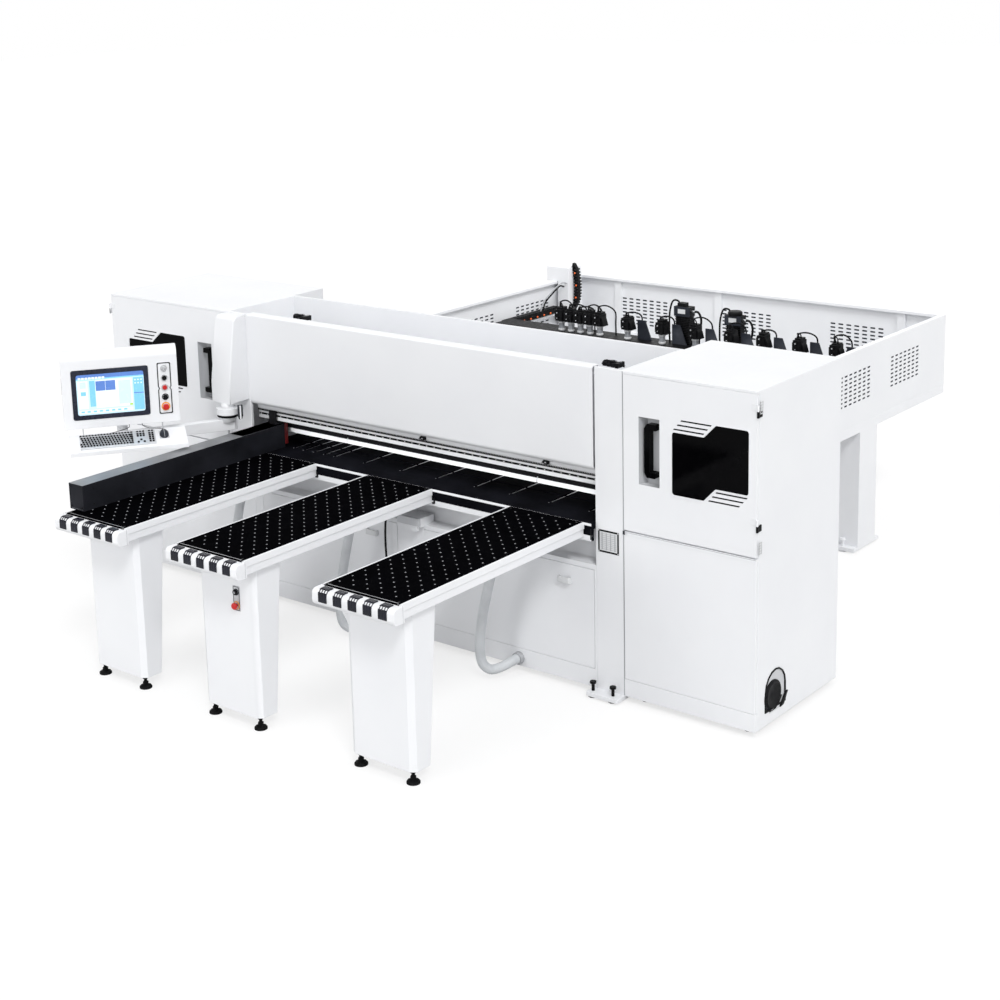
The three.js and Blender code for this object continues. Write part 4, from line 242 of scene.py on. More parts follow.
finishes = {
    "white": addFinish("whitePaint", (0.84, 0.85, 0.87), (0.81, 0.82, 0.845), (0.34, 0.5), 900.0, 0.00004),
    # The pocket finish is grey plastic on the console and the pivot, and painted shade on the door pockets'
    # walls.
    "pocket": addFinish("greyPlasticAndPocketShade", (0.5, 0.51, 0.53), (0.42, 0.43, 0.45), (0.3, 0.45), 900.0, 0.00004),
    "grey": addFinish("greyPaint", (0.42, 0.43, 0.45), (0.37, 0.38, 0.4), (0.35, 0.5), 900.0, 0.00004),
    "black": addFinish("blackPlate", (0.0012, 0.0012, 0.0018), (0.0006, 0.0006, 0.0009), (0.7, 0.85), 500.0,
                       0.00006, specular=0.004, broad=5.0),
    "table": addFinish("tableSteel", (0.008, 0.0085, 0.012), (0.0015, 0.0015, 0.0022), (0.6, 0.8), 300.0,
                       0.00003, (1.0, 14.0, 1.0), 3.0, specular=0.01),
    "blackSteel": addFinish("blackSteel", (0.006, 0.006, 0.007), (0.0025, 0.0025, 0.003), (0.35, 0.55), 700.0,
                            0.00005, specular=0.12, broad=9.0),
    # The slate finish is also the painted shade of the sheets behind the guards' vent slots.
    "slateAndVentShade": addFinish("slatePaintAndVentShade", (0.03, 0.034, 0.045), (0.013, 0.015, 0.021), (0.35, 0.55), 700.0,
                       0.00005, specular=0.2, broad=9.0),
    "bright": addFinish("brightSteel", (0.74, 0.75, 0.77), (0.6, 0.61, 0.63), (0.22, 0.38), 400.0, 0.00003,
                        (1.0, 12.0, 1.0), 8.0, metallic=1.0),
    "aluminium": addFinish("aluminium", (0.8, 0.81, 0.82), (0.73, 0.74, 0.76), (0.3, 0.45), 300.0, 0.00003,
                           (0.05, 10.0, 10.0), 3.0, metallic=0.1),
    "rail": addFinish("railAluminium", (0.84, 0.85, 0.86), (0.76, 0.77, 0.79), (0.3, 0.45), 300.0, 0.00003,
                      (0.05, 10.0, 10.0), 3.0, metallic=0.1),
    "fence": addFinish("fenceSide", (0.02, 0.021, 0.027), (0.006, 0.0065, 0.009), (0.45, 0.6), 300.0, 0.00004,
                       (10.0, 0.1, 10.0), 3.0, specular=0.1),
    "fenceTop": addFinish("fenceTop", (0.36, 0.37, 0.385), (0.25, 0.26, 0.275), (0.28, 0.42), 300.0, 0.00004,
                          (10.0, 0.1, 10.0), 5.0, metallic=0.8),
    "pane": addFinish("smokedPane", (0.0016, 0.0016, 0.002), (0.0008, 0.0008, 0.0011), (0.05, 0.12), 60.0,
                      0.00001, specular=0.05),
    "plastic": addFinish("blackPlastic", (0.006, 0.006, 0.008), (0.003, 0.003, 0.0035), (0.4, 0.6), 1500.0,
                         0.00006, specular=0.15, broad=12.0),
    "guide": addFinish("guidePlastic", (0.008, 0.009, 0.02), (0.003, 0.0035, 0.009), (0.18, 0.3), 900.0,
                       0.00003, specular=0.35, broad=12.0),
    "rubber": addFinish("rubber", (0.005, 0.005, 0.006), (0.003, 0.003, 0.0035), (0.55, 0.75), 900.0,
                        0.00008, specular=0.1, broad=12.0),
    "bezel": addFinish("bezel", (0.022, 0.026, 0.045), (0.006, 0.008, 0.018), (0.2, 0.32), 400.0, 0.00001,
                       specular=0.35, broad=3.0),
    "red": addFinish("redPlastic", (0.62, 0.012, 0.01), (0.5, 0.008, 0.008), (0.3, 0.45), 900.0, 0.00003,
                     broad=20.0),
    "darkRed": addFinish("darkRedPaint", (0.16, 0.004, 0.005), (0.1, 0.003, 0.004), (0.4, 0.55), 900.0,
                         0.00004, broad=20.0),
    "amber": addFinish("amberPlastic", (0.95, 0.42, 0.03), (0.85, 0.3, 0.02), (0.35, 0.5), 900.0, 0.00003,
                       broad=20.0),
    "orange": addFinish("orangePlastic", (0.95, 0.18, 0.03), (0.8, 0.12, 0.02), (0.4, 0.55), 900.0, 0.00003,
                        broad=20.0),
    "nozzle": addFinish("nozzle", (0.34, 0.35, 0.37), (0.25, 0.26, 0.28), (0.3, 0.4), 900.0, 0.00002,
                        broad=20.0),
    "shade": addFinish("shadePaint", (0.6, 0.61, 0.63), (0.54, 0.55, 0.57), (0.35, 0.5), 900.0, 0.00004),
    "silver": addFinish("silverPlate", (0.62, 0.63, 0.65), (0.5, 0.51, 0.53), (0.3, 0.42), 500.0, 0.00003,
                        (10.0, 1.0, 1.0), 9.0, metallic=0.4),
    "screenPale": addFinish("screenPale", (0.5, 0.68, 0.78), (0.46, 0.64, 0.75), (0.2, 0.3), 90.0, 0.000002,
                            broad=3.0, glow=0.55),
    "screenSky": addFinish("screenSky", (0.2, 0.5, 0.78), (0.16, 0.44, 0.72), (0.2, 0.3), 90.0, 0.000002,
                           broad=3.0, glow=0.5),
    "screenBlue": addFinish("screenBlue", (0.09, 0.19, 0.5), (0.07, 0.15, 0.42), (0.2, 0.3), 90.0, 0.000002,
                            broad=3.0, glow=0.55),
    "screenWhite": addFinish("screenWhite", (0.7, 0.78, 0.8), (0.66, 0.74, 0.77), (0.2, 0.3), 90.0, 0.000002,
                             broad=3.0, glow=0.5),
    "screenGreen": addFinish("screenGreen", (0.35, 0.62, 0.03), (0.3, 0.55, 0.02), (0.2, 0.3), 90.0, 0.000002,
                             broad=3.0, glow=0.4),
    "hose": addFinish("hose", (0.66, 0.68, 0.7), (0.54, 0.56, 0.58), (0.45, 0.65), 500.0, 0.00008, broad=7.0),
    # The label finish is also a painted glint at the bottom of the extraction port.
    "labelAndGlint": addFinish("labelFilmAndGlint", (0.7, 0.71, 0.72), (0.64, 0.65, 0.66), (0.4, 0.55), 600.0, 0.00002,
                       broad=12.0),
}
print("finishes made")

# A shell holds places, faces, a finish slot and whether its faces are shaded smooth.


def shell(places, faces, slot=0, smooth=True):
    return {"places": np.asarray(places, float), "faces": list(faces), "slot": slot, "smooth": smooth}


# An outline is pushed along an axis: [y, z] along x, [x, z] along y, [x, y] along z.
def prism(outline, low, high, axis, slot=0, smooth=True):
    outline = np.asarray(outline, float)
    count = len(outline)
    places = np.zeros((count * 2, 3))
    others = [k for k in range(3) if k != axis]
    places[:count, others] = outline
    places[count:, others] = outline
    places[:count, axis] = low
    places[count:, axis] = high
    faces = [tuple(range(count)), tuple(range(count * 2 - 1, count - 1, -1))]
    faces += [(k, (k + 1) % count, count + (k + 1) % count, count + k) for k in range(count)]
    return shell(places, faces, slot, smooth)


# The four corners between two values each way.
def rectangle(u, v):
    return [(u[0], v[0]), (u[1], v[0]), (u[1], v[1]), (u[0], v[1])]


# A rectangle in x and y is pushed along z.
def block(x, y, z, slot=0):
    return prism(rectangle(x, y), z[0], z[1], 2, slot)


# Corners of a rectangle replaced by arcs.
def roundedOutline(u, v, radius, steps=4):
    points = []
    for centreU, centreV, start in ((u[1] - radius, v[1] - radius, 0), (u[0] + radius, v[1] - radius, 90),
                                    (u[0] + radius, v[0] + radius, 180), (u[1] - radius, v[0] + radius, 270)):
        for k in range(steps + 1):
            angle = math.radians(start + 90 * k / steps)
            points.append((centreU + radius * math.cos(angle), centreV + radius * math.sin(angle)))
    return points


# Neighbours in a grid of places become quads; it may close round its columns and round its rows, or be
# capped by its first and last rows.
def gridShell(places, slot=0, aroundColumns=True, aroundRows=False, capped=False):
    rows, columns = places.shape[:2]
    index = np.arange(rows * columns).reshape(rows, columns)
    ends = [index[0].tolist(), index[-1].tolist()]
    if aroundColumns:
        index = np.hstack((index, index[:, :1]))
    if aroundRows:
        index = np.vstack((index, index[:1]))
    corners = (index[:-1, :-1], index[:-1, 1:], index[1:, 1:], index[1:, :-1])
    faces = np.stack(corners, axis=-1).reshape(-1, 4).tolist()
    if capped:
        faces += ends
    return shell(places.reshape(-1, 3), faces, slot)


# A profile of (radius, height) turned about an axis through a place.
def lathe(profile, place, axis=2, sides=24, slot=0, ring=False):
    radii, heights = np.asarray(profile, float).T
    angles = np.arange(sides) * 2 * math.pi / sides
    others = [k for k in range(3) if k != axis]
    rings = np.tile(np.asarray(place, float), (len(radii), sides, 1))
    rings[:, :, others[0]] += radii[:, None] * np.cos(angles)
    rings[:, :, others[1]] += radii[:, None] * np.sin(angles)
    rings[:, :, axis] += heights[:, None]
    return gridShell(rings, slot, aroundRows=ring, capped=not ring)


# A short cylinder from one height to another, with its far rim chamfered.
def stud(place, radius, start, end, axis=2, slot=0, sides=20, rim=0.15):
    edge = radius * rim
    back = math.copysign(edge, end - start)
    return lathe(((radius, start), (radius, end - back), (radius - edge, end)), place, axis, sides, slot)


# A flat ring with a square section.
def washer(place, inner, outer, start, end, axis=2, slot=0, sides=28):
    profile = ((inner, start), (outer, start), (outer, end), (inner, end))
    return lathe(profile, place, axis, sides, slot, ring=True)


# An outline with holes is filled flat by a 2D curve, which also gives the plate its thickness.
def cutPlate(outline, holes, low, high, axis, slot=0):
    curve = bpy.data.curves.new("cutPlate", "CURVE")
    curve.dimensions = "2D"
    curve.fill_mode = "BOTH"
    curve.extrude = (high - low) / 2
    for edge in (outline, *holes):
        spline = curve.splines.new("POLY")
        spline.points.add(len(edge) - 1)
        flat = np.zeros((len(edge), 4))
        flat[:, :2] = edge
        spline.points.foreach_set("co", flat.ravel())
        spline.use_cyclic_u = True
    holder = bpy.data.objects.new("cutPlate", curve)
    mesh = bpy.data.meshes.new_from_object(holder)
    local = np.empty(len(mesh.vertices) * 3)
    mesh.vertices.foreach_get("co", local)
    local = local.reshape(-1, 3)
    places = np.empty_like(local)
    places[:, [k for k in range(3) if k != axis]] = local[:, :2]
    places[:, axis] = local[:, 2] + (low + high) / 2
    faces = [tuple(face.vertices) for face in mesh.polygons]
    bpy.data.objects.remove(holder)
    bpy.data.curves.remove(curve)
    bpy.data.meshes.remove(mesh)
    return shell(places, faces, slot, smooth=False)


# A centripetal Catmull-Rom curve through the points, sampled at even steps of its length.
def curveThrough(points, step):
    points = np.asarray(points, float)
    ends = (2 * points[0] - points[1], 2 * points[-1] - points[-2])
    padded = np.vstack((ends[0], points, ends[1]))
    dense = []
    shares = np.linspace(0, 1, 60, endpoint=False)[:, None]
    for p0, p1, p2, p3 in zip(padded, padded[1:], padded[2:], padded[3:]):
        d0, d1, d2 = (np.linalg.norm(b - a) ** 0.5 for a, b in ((p0, p1), (p1, p2), (p2, p3)))
        m1 = ((p1 - p0) / d0 - (p2 - p0) / (d0 + d1) + (p2 - p1) / d1) * d1
        m2 = ((p2 - p1) / d1 - (p3 - p1) / (d1 + d2) + (p3 - p2) / d2) * d1
        dense.append(p1 + m1 * shares + (3 * (p2 - p1) - 2 * m1 - m2) * shares ** 2
                     + (2 * (p1 - p2) + m1 + m2) * shares ** 3)
    dense.append(points[-1:])
    line = np.vstack(dense)
    along = np.concatenate(((0,), np.cumsum(np.linalg.norm(np.diff(line, axis=0), axis=1))))
    count = max(2, int(round(along[-1] / step)) + 1)
    even = np.linspace(0, along[-1], count)
    return np.stack([np.interp(even, along, line[:, k]) for k in range(3)], axis=1), along[-1]


# A ring stands square to the route at each of its points; its first direction is the last ring's, less
# what lies along the route, so that the tube doesn't twist.
def tube(route, radii, sides=12, slot=0):
    route = np.asarray(route, float)
    radii = np.broadcast_to(np.asarray(radii, float), (len(route),))
    tangents = np.gradient(route, axis=0)
    tangents /= np.linalg.norm(tangents, axis=1)[:, None]
    normal = np.cross(tangents[0], (0.31, 0.2, 0.93))
    normals = []
    for tangent in tangents:
        normal = normal - tangent * normal.dot(tangent)
        normal /= np.linalg.norm(normal)
        normals.append(normal)
    normals = np.array(normals)
    across = np.cross(tangents, normals)
    angles = np.arange(sides) * 2 * math.pi / sides
    rings = np.cos(angles)[None, :, None] * normals[:, None] + np.sin(angles)[None, :, None] * across[:, None]
    return gridShell(route[:, None] + radii[:, None, None] * rings, slot, capped=True)


# A tube along the curve through a few points.
def cable(points, radius, slot=0, step=14.0, sides=8):
    return tube(curveThrough(points, step)[0], radius, sides, slot)


# Copies of a shell at each offset.
def repeated(form, offsets):
    offsets = np.asarray(offsets, float).reshape(-1, 3)
    count = len(form["places"])
    places = (form["places"][None, :, :] + offsets[:, None, :]).reshape(-1, 3)
    faces = [tuple(k + n * count for k in face) for n in range(len(offsets)) for face in form["faces"]]
    return shell(places, faces, form["slot"], form["smooth"])


# Offsets along one axis by each of the values.
def offsetsAlong(values, axis):
    offsets = np.zeros((len(values), 3))
    offsets[:, axis] = values
    return offsets


# Least length of a rounded edge and least depth of the faces beside it, as multiples of the rounding
rounding = {"shortest": 5.0, "narrowest": 2.5}
merging = {"shells": 0.000002, "nodes": 0.00003, "flatAngle": 0.5}


# An edge has weight one where it is convex, sharp and long, and where the smaller face beside it is deep:
# its area over the edge's length.
def markRoundEdges(mesh, bevel, sharp):
    build = bmesh.new()
    build.from_mesh(mesh)
    weight = build.edges.layers.float.new("bevel_weight_edge")
    for edge in build.edges:
        if len(edge.link_faces) != 2 or not edge.is_convex or edge.calc_face_angle() < sharp:
            continue
        length = edge.calc_length()
        depth = min(face.calc_area() for face in edge.link_faces) / max(length, bevel)
        if length > rounding["shortest"] * bevel and depth > rounding["narrowest"] * bevel:
            edge[weight] = 1.0
    build.to_mesh(mesh)
    build.free()


# A finished mesh gets its object, finishes, rounded edges and body.
def finishMesh(mesh, bevel, segments, name, body, sharp, slots):
    if bevel:
        markRoundEdges(mesh, bevel * metre, math.radians(sharp))
    mesh.set_sharp_from_angle(angle=math.radians(sharp))
    piece = bpy.data.objects.new(name, mesh)
    bpy.context.scene.collection.objects.link(piece)
    for slot in slots:
        mesh.materials.append(finishes[slot])
    if bevel:
        edge = piece.modifiers.new("edges", "BEVEL")
        edge.width = bevel * metre
        edge.segments = segments
        edge.limit_method = "WEIGHT"
        edge.use_clamp_overlap = False
        flat = piece.modifiers.new("flatFaces", "WEIGHTED_NORMAL")
        flat.keep_sharp = True
        flat.weight = 100
    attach(piece, body)
    return piece


# Shells are numbered on in one mesh, their doubles are merged, and the faces are turned outwards.
def addPiece(name, body, shells, slots, bevel=0.0, segments=2, place=inRow, sharp=38.0):
    places, faces, slotOf, smooth = [], [], [], []
    start = 0
    for form in shells:
        places.append(form["places"])
        faces += [tuple(k + start for k in face) for face in form["faces"]]
        slotOf += [form["slot"]] * len(form["faces"])
        smooth += [form["smooth"]] * len(form["faces"])
        start += len(form["places"])
    mesh = bpy.data.meshes.new(name)
    mesh.from_pydata(place(np.vstack(places)).tolist(), [], faces)
    mesh.polygons.foreach_set("material_index", slotOf)
    mesh.polygons.foreach_set("use_smooth", smooth)
    build = bmesh.new()
    build.from_mesh(mesh)
    bmesh.ops.remove_doubles(build, verts=build.verts, dist=merging["shells"])
    bmesh.ops.recalc_face_normals(build, faces=build.faces)
    build.to_mesh(mesh)
    build.free()
    return finishMesh(mesh, bevel, segments, name, body, sharp, slots)


# The console's millimetres in the frame's metres.
def consoleRow(places):
    return inRow(fromConsole(places))


# A copy of a CAD node with its flat faces joined; pick gives each face its slot from its place and
# normal, and shift may move its points a little.
def dressed(node, slots, pick=None, bevel=1.5, segments=2, sharp=38.0, shift=None):
    source = frame["nodes"][node]
    build = bmesh.new()
    build.from_mesh(source.data)
    build.transform(source.matrix_world)
    bmesh.ops.remove_doubles(build, verts=build.verts, dist=merging["nodes"])
    flat = math.radians(merging["flatAngle"])
    bmesh.ops.dissolve_limit(build, angle_limit=flat, verts=build.verts, edges=build.edges)
    bmesh.ops.recalc_face_normals(build, faces=build.faces)
    mesh = bpy.data.meshes.new(node + "_dressed")
    for face in build.faces:
        face.smooth = True
    build.to_mesh(mesh)
    build.free()
    if pick:
        centres = np.empty(len(mesh.polygons) * 3)
        normals = np.empty(len(mesh.polygons) * 3)
        mesh.polygons.foreach_get("center", centres)
        mesh.polygons.foreach_get("normal", normals)
        picked = pick(inMachine(centres.reshape(-1, 3)), normals.reshape(-1, 3))
        mesh.polygons.foreach_set("material_index", picked.tolist())
    if shift:
        places = np.empty(len(mesh.vertices) * 3)
        mesh.vertices.foreach_get("co", places)
        mesh.vertices.foreach_set("co", inRow(shift(inMachine(places.reshape(-1, 3)))).ravel())
    piece = finishMesh(mesh, bevel, segments, node + "_dressed", bodyOf[node], sharp, slots)
    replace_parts(piece, node)
    return piece


# True where a value is at least the low and at most the high one.
def within(values, low, high):
    return (values >= low) & (values <= high)


# Air hoses: ribbed suction hoses from the plinth to the air tables

tableCentres = (-2418.0, -1446.0, -318.0)
hose = {
    "collarOffset": -248.0,
    "collarLength": 30.3,
    "collarHeight": 90.0,
    "straight": 60.0,
    "spigotX": -202.0,
    "spigotY": -265.0,
    "mouth": 901.7,
    "crest": 30.0,
    "root": 27.2,
    "ribPitch": 9.0,
    "turns": ((-24, -150, 74), (-66, -196, 64), (-100, -226, 100), (-114, -236, 190), (-104, -238, 300),
              (-76, -242, 440), (-30, -252, 590), (14, -260, 730), (40, -264, 800)),
}


# The rib's wave along the hose gives the radius: the root plus a rounded crest at every pitch.
def ribbedHose(index, centre):
    start = centre + hose["collarOffset"]
    points = [(start, -hose["collarLength"], hose["collarHeight"]),
              (start, -hose["collarLength"] - hose["straight"], hose["collarHeight"])]
    points += [(start + x, y, z) for x, y, z in hose["turns"]]
    end = (centre + hose["spigotX"], hose["spigotY"])
    points += [(*end, hose["mouth"] - hose["straight"]), (*end, hose["mouth"])]
    route, length = curveThrough(points, hose["ribPitch"] / 4)
    along = np.linspace(0, length, len(route))
    wave = np.abs(np.sin(math.pi * along / hose["ribPitch"]))
    radii = hose["root"] + (hose["crest"] - hose["root"]) * wave
    name = f"suction_hose_{index}"
    piece = addPiece(name, "machine", [tube(route, radii, 20)], ["hose"], sharp=80.0)
    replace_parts(piece, f"air_hose_{index}")


for index, centre in enumerate(tableCentres):
    ribbedHose(index + 1, centre)

# Thin cables of the keyboard, the mouse and the tray, in the console's own frame: right, back and up
consoleCords = {
    "keyboard_cable": ((40, -104, 1337), (38, -122, 1326), (-20, -134, 1310), (-70, -138, 1302),
                       (-96, -143, 1299)),
    "mouse_cable": ((120, -104, 1337), (124, -122, 1328), (160, -134, 1312), (214, -134, 1304),
                    (250, -141, 1300)),
    "tray_cable": ((196, -116, 1277), (186, -132, 1252), (158, -150, 1228), (110, -146, 1230), (96, -128, 1264),
                   (110, -112, 1278)),
}


# A round cable along the curve through its points, which rides on the console.
def consoleCord(name, points, radius):
    route, length = curveThrough(points, 10.0)
    piece = addPiece(name, "console", [tube(route, radius, 8)], ["plastic"], place=consoleRow)


for name, points in consoleCords.items():
    consoleCord(name, points, 2.0)
print("hoses made")

# Posts, base and girder

postBolts = {"places": ((-2.0, -40.0), (136.0, -40.0), (-2.0, 677.0), (136.0, 677.0)), "reach": 31.0,
             "top": 100.0}
footPlate = {"bottom": 12.0, "top": 36.7}


# A face belongs to a bolt where it is near the bolt's axis and isn't part of the plate's flat faces.
def boltFaces(centres, normals):
    found = np.zeros(len(centres), bool)
    for x, y in postBolts["places"]:
        for boltX in (x, -bedLength - x):
            found |= np.hypot(centres[:, 0] - boltX, centres[:, 1] - y) < postBolts["reach"]
    level = np.zeros(len(centres), bool)
    for height in footPlate.values():
        level |= within(centres[:, 2], height - 1, height + 1)
    flat = (np.abs(normals[:, 2]) > 0.9) & level
    return (found & ~flat & (centres[:, 2] < postBolts["top"])).astype(int)


for node in ("right_post", "left_post"):
    dressed(node, ["white", "blackSteel"], boltFaces, 2.0)


# The hose collars stand out of the base's front, low above the floor.
def baseFaces(centres, normals):
    collar = within(centres[:, 2], 50, 130) & (centres[:, 1] < -1)
    return collar.astype(int)


dressed("base_frame", ["white", "grey"], baseFaces, 2.0)


# What stands out of a base panel's front is its handle.
def panelFaces(centres, normals):
    return (centres[:, 1] < -1).astype(int)


for node in ("base_left_panel", "base_right_panel"):
    dressed(node, ["white", "labelAndGlint"], panelFaces, 1.5)


# The aligner's rail lies within a band of depth and height, and its groove within that.
def girderFaces(centres, normals):
    rail = within(centres[:, 1], 61, 141) & within(centres[:, 2], 1239, 1311)
    groove = rail & within(centres[:, 2], 1264, 1278) & (centres[:, 1] > 70.5)
    return np.where(groove, 2, rail.astype(int))


dressed("beam_girder", ["white", "rail", "blackSteel"], girderFaces, 1.5)
dressed("beam_front_cover", ["white"], None, 0.8)
rail = {"left": -2766.0, "right": -6.0, "face": 62.0, "rack": (1298.0, 1306.0), "pitch": 12.0,
        "bar": (1294.5, 1299.0), "line": (1241.0, 1243.5), "groove": (69.5, 1271.0), "screwPitch": 60.0}
clamps = ((-1322.0, 1324.0), (-383.0, 1326.0))


# The rack's teeth stand on a bar under the cover, screws sit in the rail's groove, and a line runs below.
def railTrim():
    length = (rail["left"], rail["right"])
    teeth = block((0, rail["pitch"] * 0.5), (58.5, rail["face"]), rail["rack"], 0)
    bar = block(length, (60.0, rail["face"]), rail["bar"], 0)
    teethAlong = np.arange(rail["left"], rail["right"] - rail["pitch"], rail["pitch"])
    screwsAlong = np.arange(rail["left"] + 20, rail["right"], rail["screwPitch"])
    screw = lathe(((4.0, 0), (4.0, -4.0), (2.2, -5.0)), (0, *rail["groove"]), 1, 6, 1)
    line = block(length, (60.6, rail["face"]), rail["line"], 0)
    return [repeated(teeth, offsetsAlong(teethAlong, 0)), bar,
            repeated(screw, offsetsAlong(screwsAlong, 0)), line]


# A hooked outline round the clamp's place, pushed along y, with a bright spot on its face that is a painted
# glint.
def cableClamp(x, z):
    outline = ((-26, -6), (-8, 14), (16, 16), (20, -10), (2, -16), (-10, -8))
    hook = prism([(x + u, z + v) for u, v in outline], 40.0, 61.5, 1, 0)
    glint = block((x - 2, x + 9), (38.6, 40.0), (z - 5, z + 2), 1)
    return [hook, glint]


addPiece("rail_trim", "machine", railTrim(), ["blackSteel", "bright"])
clampForms = [form for place in clamps for form in cableClamp(*place)]
addPiece("rail_clamps", "machine", clampForms, ["plastic", "bright"])


# The table's front is white above and below its recess.
def tableRailFaces(centres, normals):
    front = centres[:, 1] < -35
    recess = within(centres[:, 2], 973, 1029)
    lip = front & ~recess & (centres[:, 2] < 1045)
    return lip.astype(int)


dressed("main_table", ["table", "white"], tableRailFaces, 1.0)
dressed("rear_table", ["table"], None, 1.0)
slotPlaces = [-bedLength * share for share in (0.053, 0.1577, 0.2633, 0.3608, 0.4715, 0.5772, 0.6898)]
slotPlaces += [-2173.0, -2264.0, -2355.0, -2446.0, -2537.0]
# Where the painted slot highlights lie beside each slot and along the tables, and the place of each slot's
# screw.
slotHighlight = {"beside": (8, 16), "spans": ((158, 291), (310, 640)), "screw": (4, 140)}


# Bright strips beside the slots of both tables: a painted highlight where each slot's edge catches the light,
# with a screw at each front end.
def slotEdgeHighlights():
    forms = []
    screwX, screwY = slotHighlight["screw"]
    for x in slotPlaces:
        beside = [x + edge for edge in slotHighlight["beside"]]
        for span in slotHighlight["spans"]:
            forms.append(block(beside, span, (tableTop - 1, tableTop + 0.5), 0))
        forms.append(stud((x + screwX, screwY, tableTop - 0.5), 4.0, 0, 1.0, 2, 1, 10))
    return forms


terminalBox = {"lid": ((-1456, -1284), (-62, -40), (790, 838)),
               "body": ((-1440, -1300), (-56, -40), (756, 789)),
               "route": ((-1538, -44, 801), (-1560, -48, 780), (-1568, -50, 720), (-1572, -48, 620),
                         (-1572, -44, 518)), "radius": 7.0}
tableHooks = (-2141.0, -1161.0)


# Terminal box with its cable on the base, two hooks below the main table and a catch beside the post.
def baseTrim():
    forms = [block(*terminalBox["lid"], 0), block(*terminalBox["body"], 1),
             cable(terminalBox["route"], terminalBox["radius"], 2)]
    for x in tableHooks:
        forms.append(block((x - 3, x + 3), (-52, -41), (958, 992), 2))
        forms.append(block((x - 16, x + 3), (-52, -46), (956, 964), 2))
    forms.append(block((-8, -1), (-44, -41), (950, 1012), 2))
    return forms


addPiece("base_trim", "machine", baseTrim(), ["shade", "white", "plastic"])


trough = {"starts": (-2640.0, -150.0), "pitch": 32, "couplings": 4}


# Cable ends and couplings that lie in the beam's trough at both ends.
def troughFittings():
    forms = []
    for start in trough["starts"]:
        for k in range(trough["couplings"]):
            x = start + trough["pitch"] * k
            forms.append(block((x, x + 22), (300 - 6 * k, 352), (1880, 1902 + 7 * (k % 2)), 0))
            forms.append(stud((x + 11, 330, 1900), 6.0, 0, 14.0, 2, 1, 10))
        forms.append(cable([(start - 20, 330, 1884), (start + 20, 300, 1912), (start + 70, 318, 1906),
                            (start + 130, 334, 1884)], 7.0, 0))
    return forms


addPiece("trough_fittings", "machine", troughFittings(), ["plastic", "grey"])
# The slots' painted edge highlights and their screws.
addPiece("slot_edge_highlights", "machine", slotEdgeHighlights(), ["bright", "nozzle"])

# Cabinets and doors

cabinets = {
    "right": {"side": 1.0, "edge": 0.0, "pocket": 102.0, "width": 851.0},
    "left": {"side": -1.0, "edge": -bedLength, "pocket": 160.0, "width": 1172.0},
}
pocket = {"width": 140.0, "low": 1320.4, "high": 1708.3, "wall": 190.3}
grip = {"front": 16.0, "reach": 34.0, "bow": 43.0, "margin": 40.0}


# The handle pocket's middle, counted outwards from the post's edge.
def pocketMiddle(side):
    cabinet = cabinets[side]
    return cabinet["edge"] + cabinet["side"] * (pocket["wall"] + cabinet["pocket"] + pocket["width"] / 2)


# A door's faces in its pocket belong to the grip or to the pocket's own walls, whose grey finish is painted
# shade in the recess.
def doorFaces(side):
    cabinet = cabinets[side]
    middle = pocketMiddle(side)
    hinge = cabinet["edge"] + cabinet["side"] * (pocket["wall"] + cabinet["width"])

    def pick(centres, normals):
        across = np.abs(centres[:, 0] - middle)
        tall = within(centres[:, 2], pocket["low"] - 5, pocket["high"] + 5)
        inPocket = tall & (across < pocket["width"] / 2 + 5) & (centres[:, 1] > 1)
        inGrip = inPocket & (across < grip["bow"] + 3) & within(centres[:, 1], grip["front"] - 1, 59)
        inGrip &= within(centres[:, 2], pocket["low"] + grip["margin"] - 2, pocket["high"] - grip["margin"] + 2)
        hinges = (np.abs(centres[:, 0] - hinge) < 45) & (centres[:, 1] < -0.5)
        return np.where(inGrip, 1, np.where(inPocket & ~hinges, 2, 0))

    return pick


# What stands out of a cabinet's outer side, and its feet, are dark.
def shellFaces(side):
    cabinet = cabinets[side]
    wall = cabinet["edge"] + cabinet["side"] * (pocket["wall"] + cabinet["width"])

    def pick(centres, normals):
        outside = (centres[:, 0] - wall) * cabinet["side"] > 0.5
        feet = centres[:, 2] < 36.5
        return (outside | feet).astype(int)

    return pick


for side in cabinets:
    dressed(f"{side}_cabinet", ["white", "blackSteel"], shellFaces(side), 2.5)
    dressed(f"{side}_lower_panel", ["white"], None, 2.0)
    # The doors' third finish paints shade on their pocket walls.
    dressed(f"{side}_door", ["white", "pane", "pocket"], doorFaces(side), 1.5)
    dressed(f"{side}_door_window", ["pane"], None, 1.0)


port = {"y": 188.0, "caseZ": 196.0, "caseRadius": 86.0, "ductZ": 190.0, "ductRadius": 88.0, "wall": 1038.0}


# The port's faces outside a circle in y and z belong to its case.
def portFaces(centres, normals):
    distance = np.hypot(centres[:, 1] - port["y"], centres[:, 2] - port["caseZ"])
    return (distance > port["caseRadius"]).astype(int)


dressed("extraction_port", ["plastic", "blackSteel"], portFaces, 1.5)


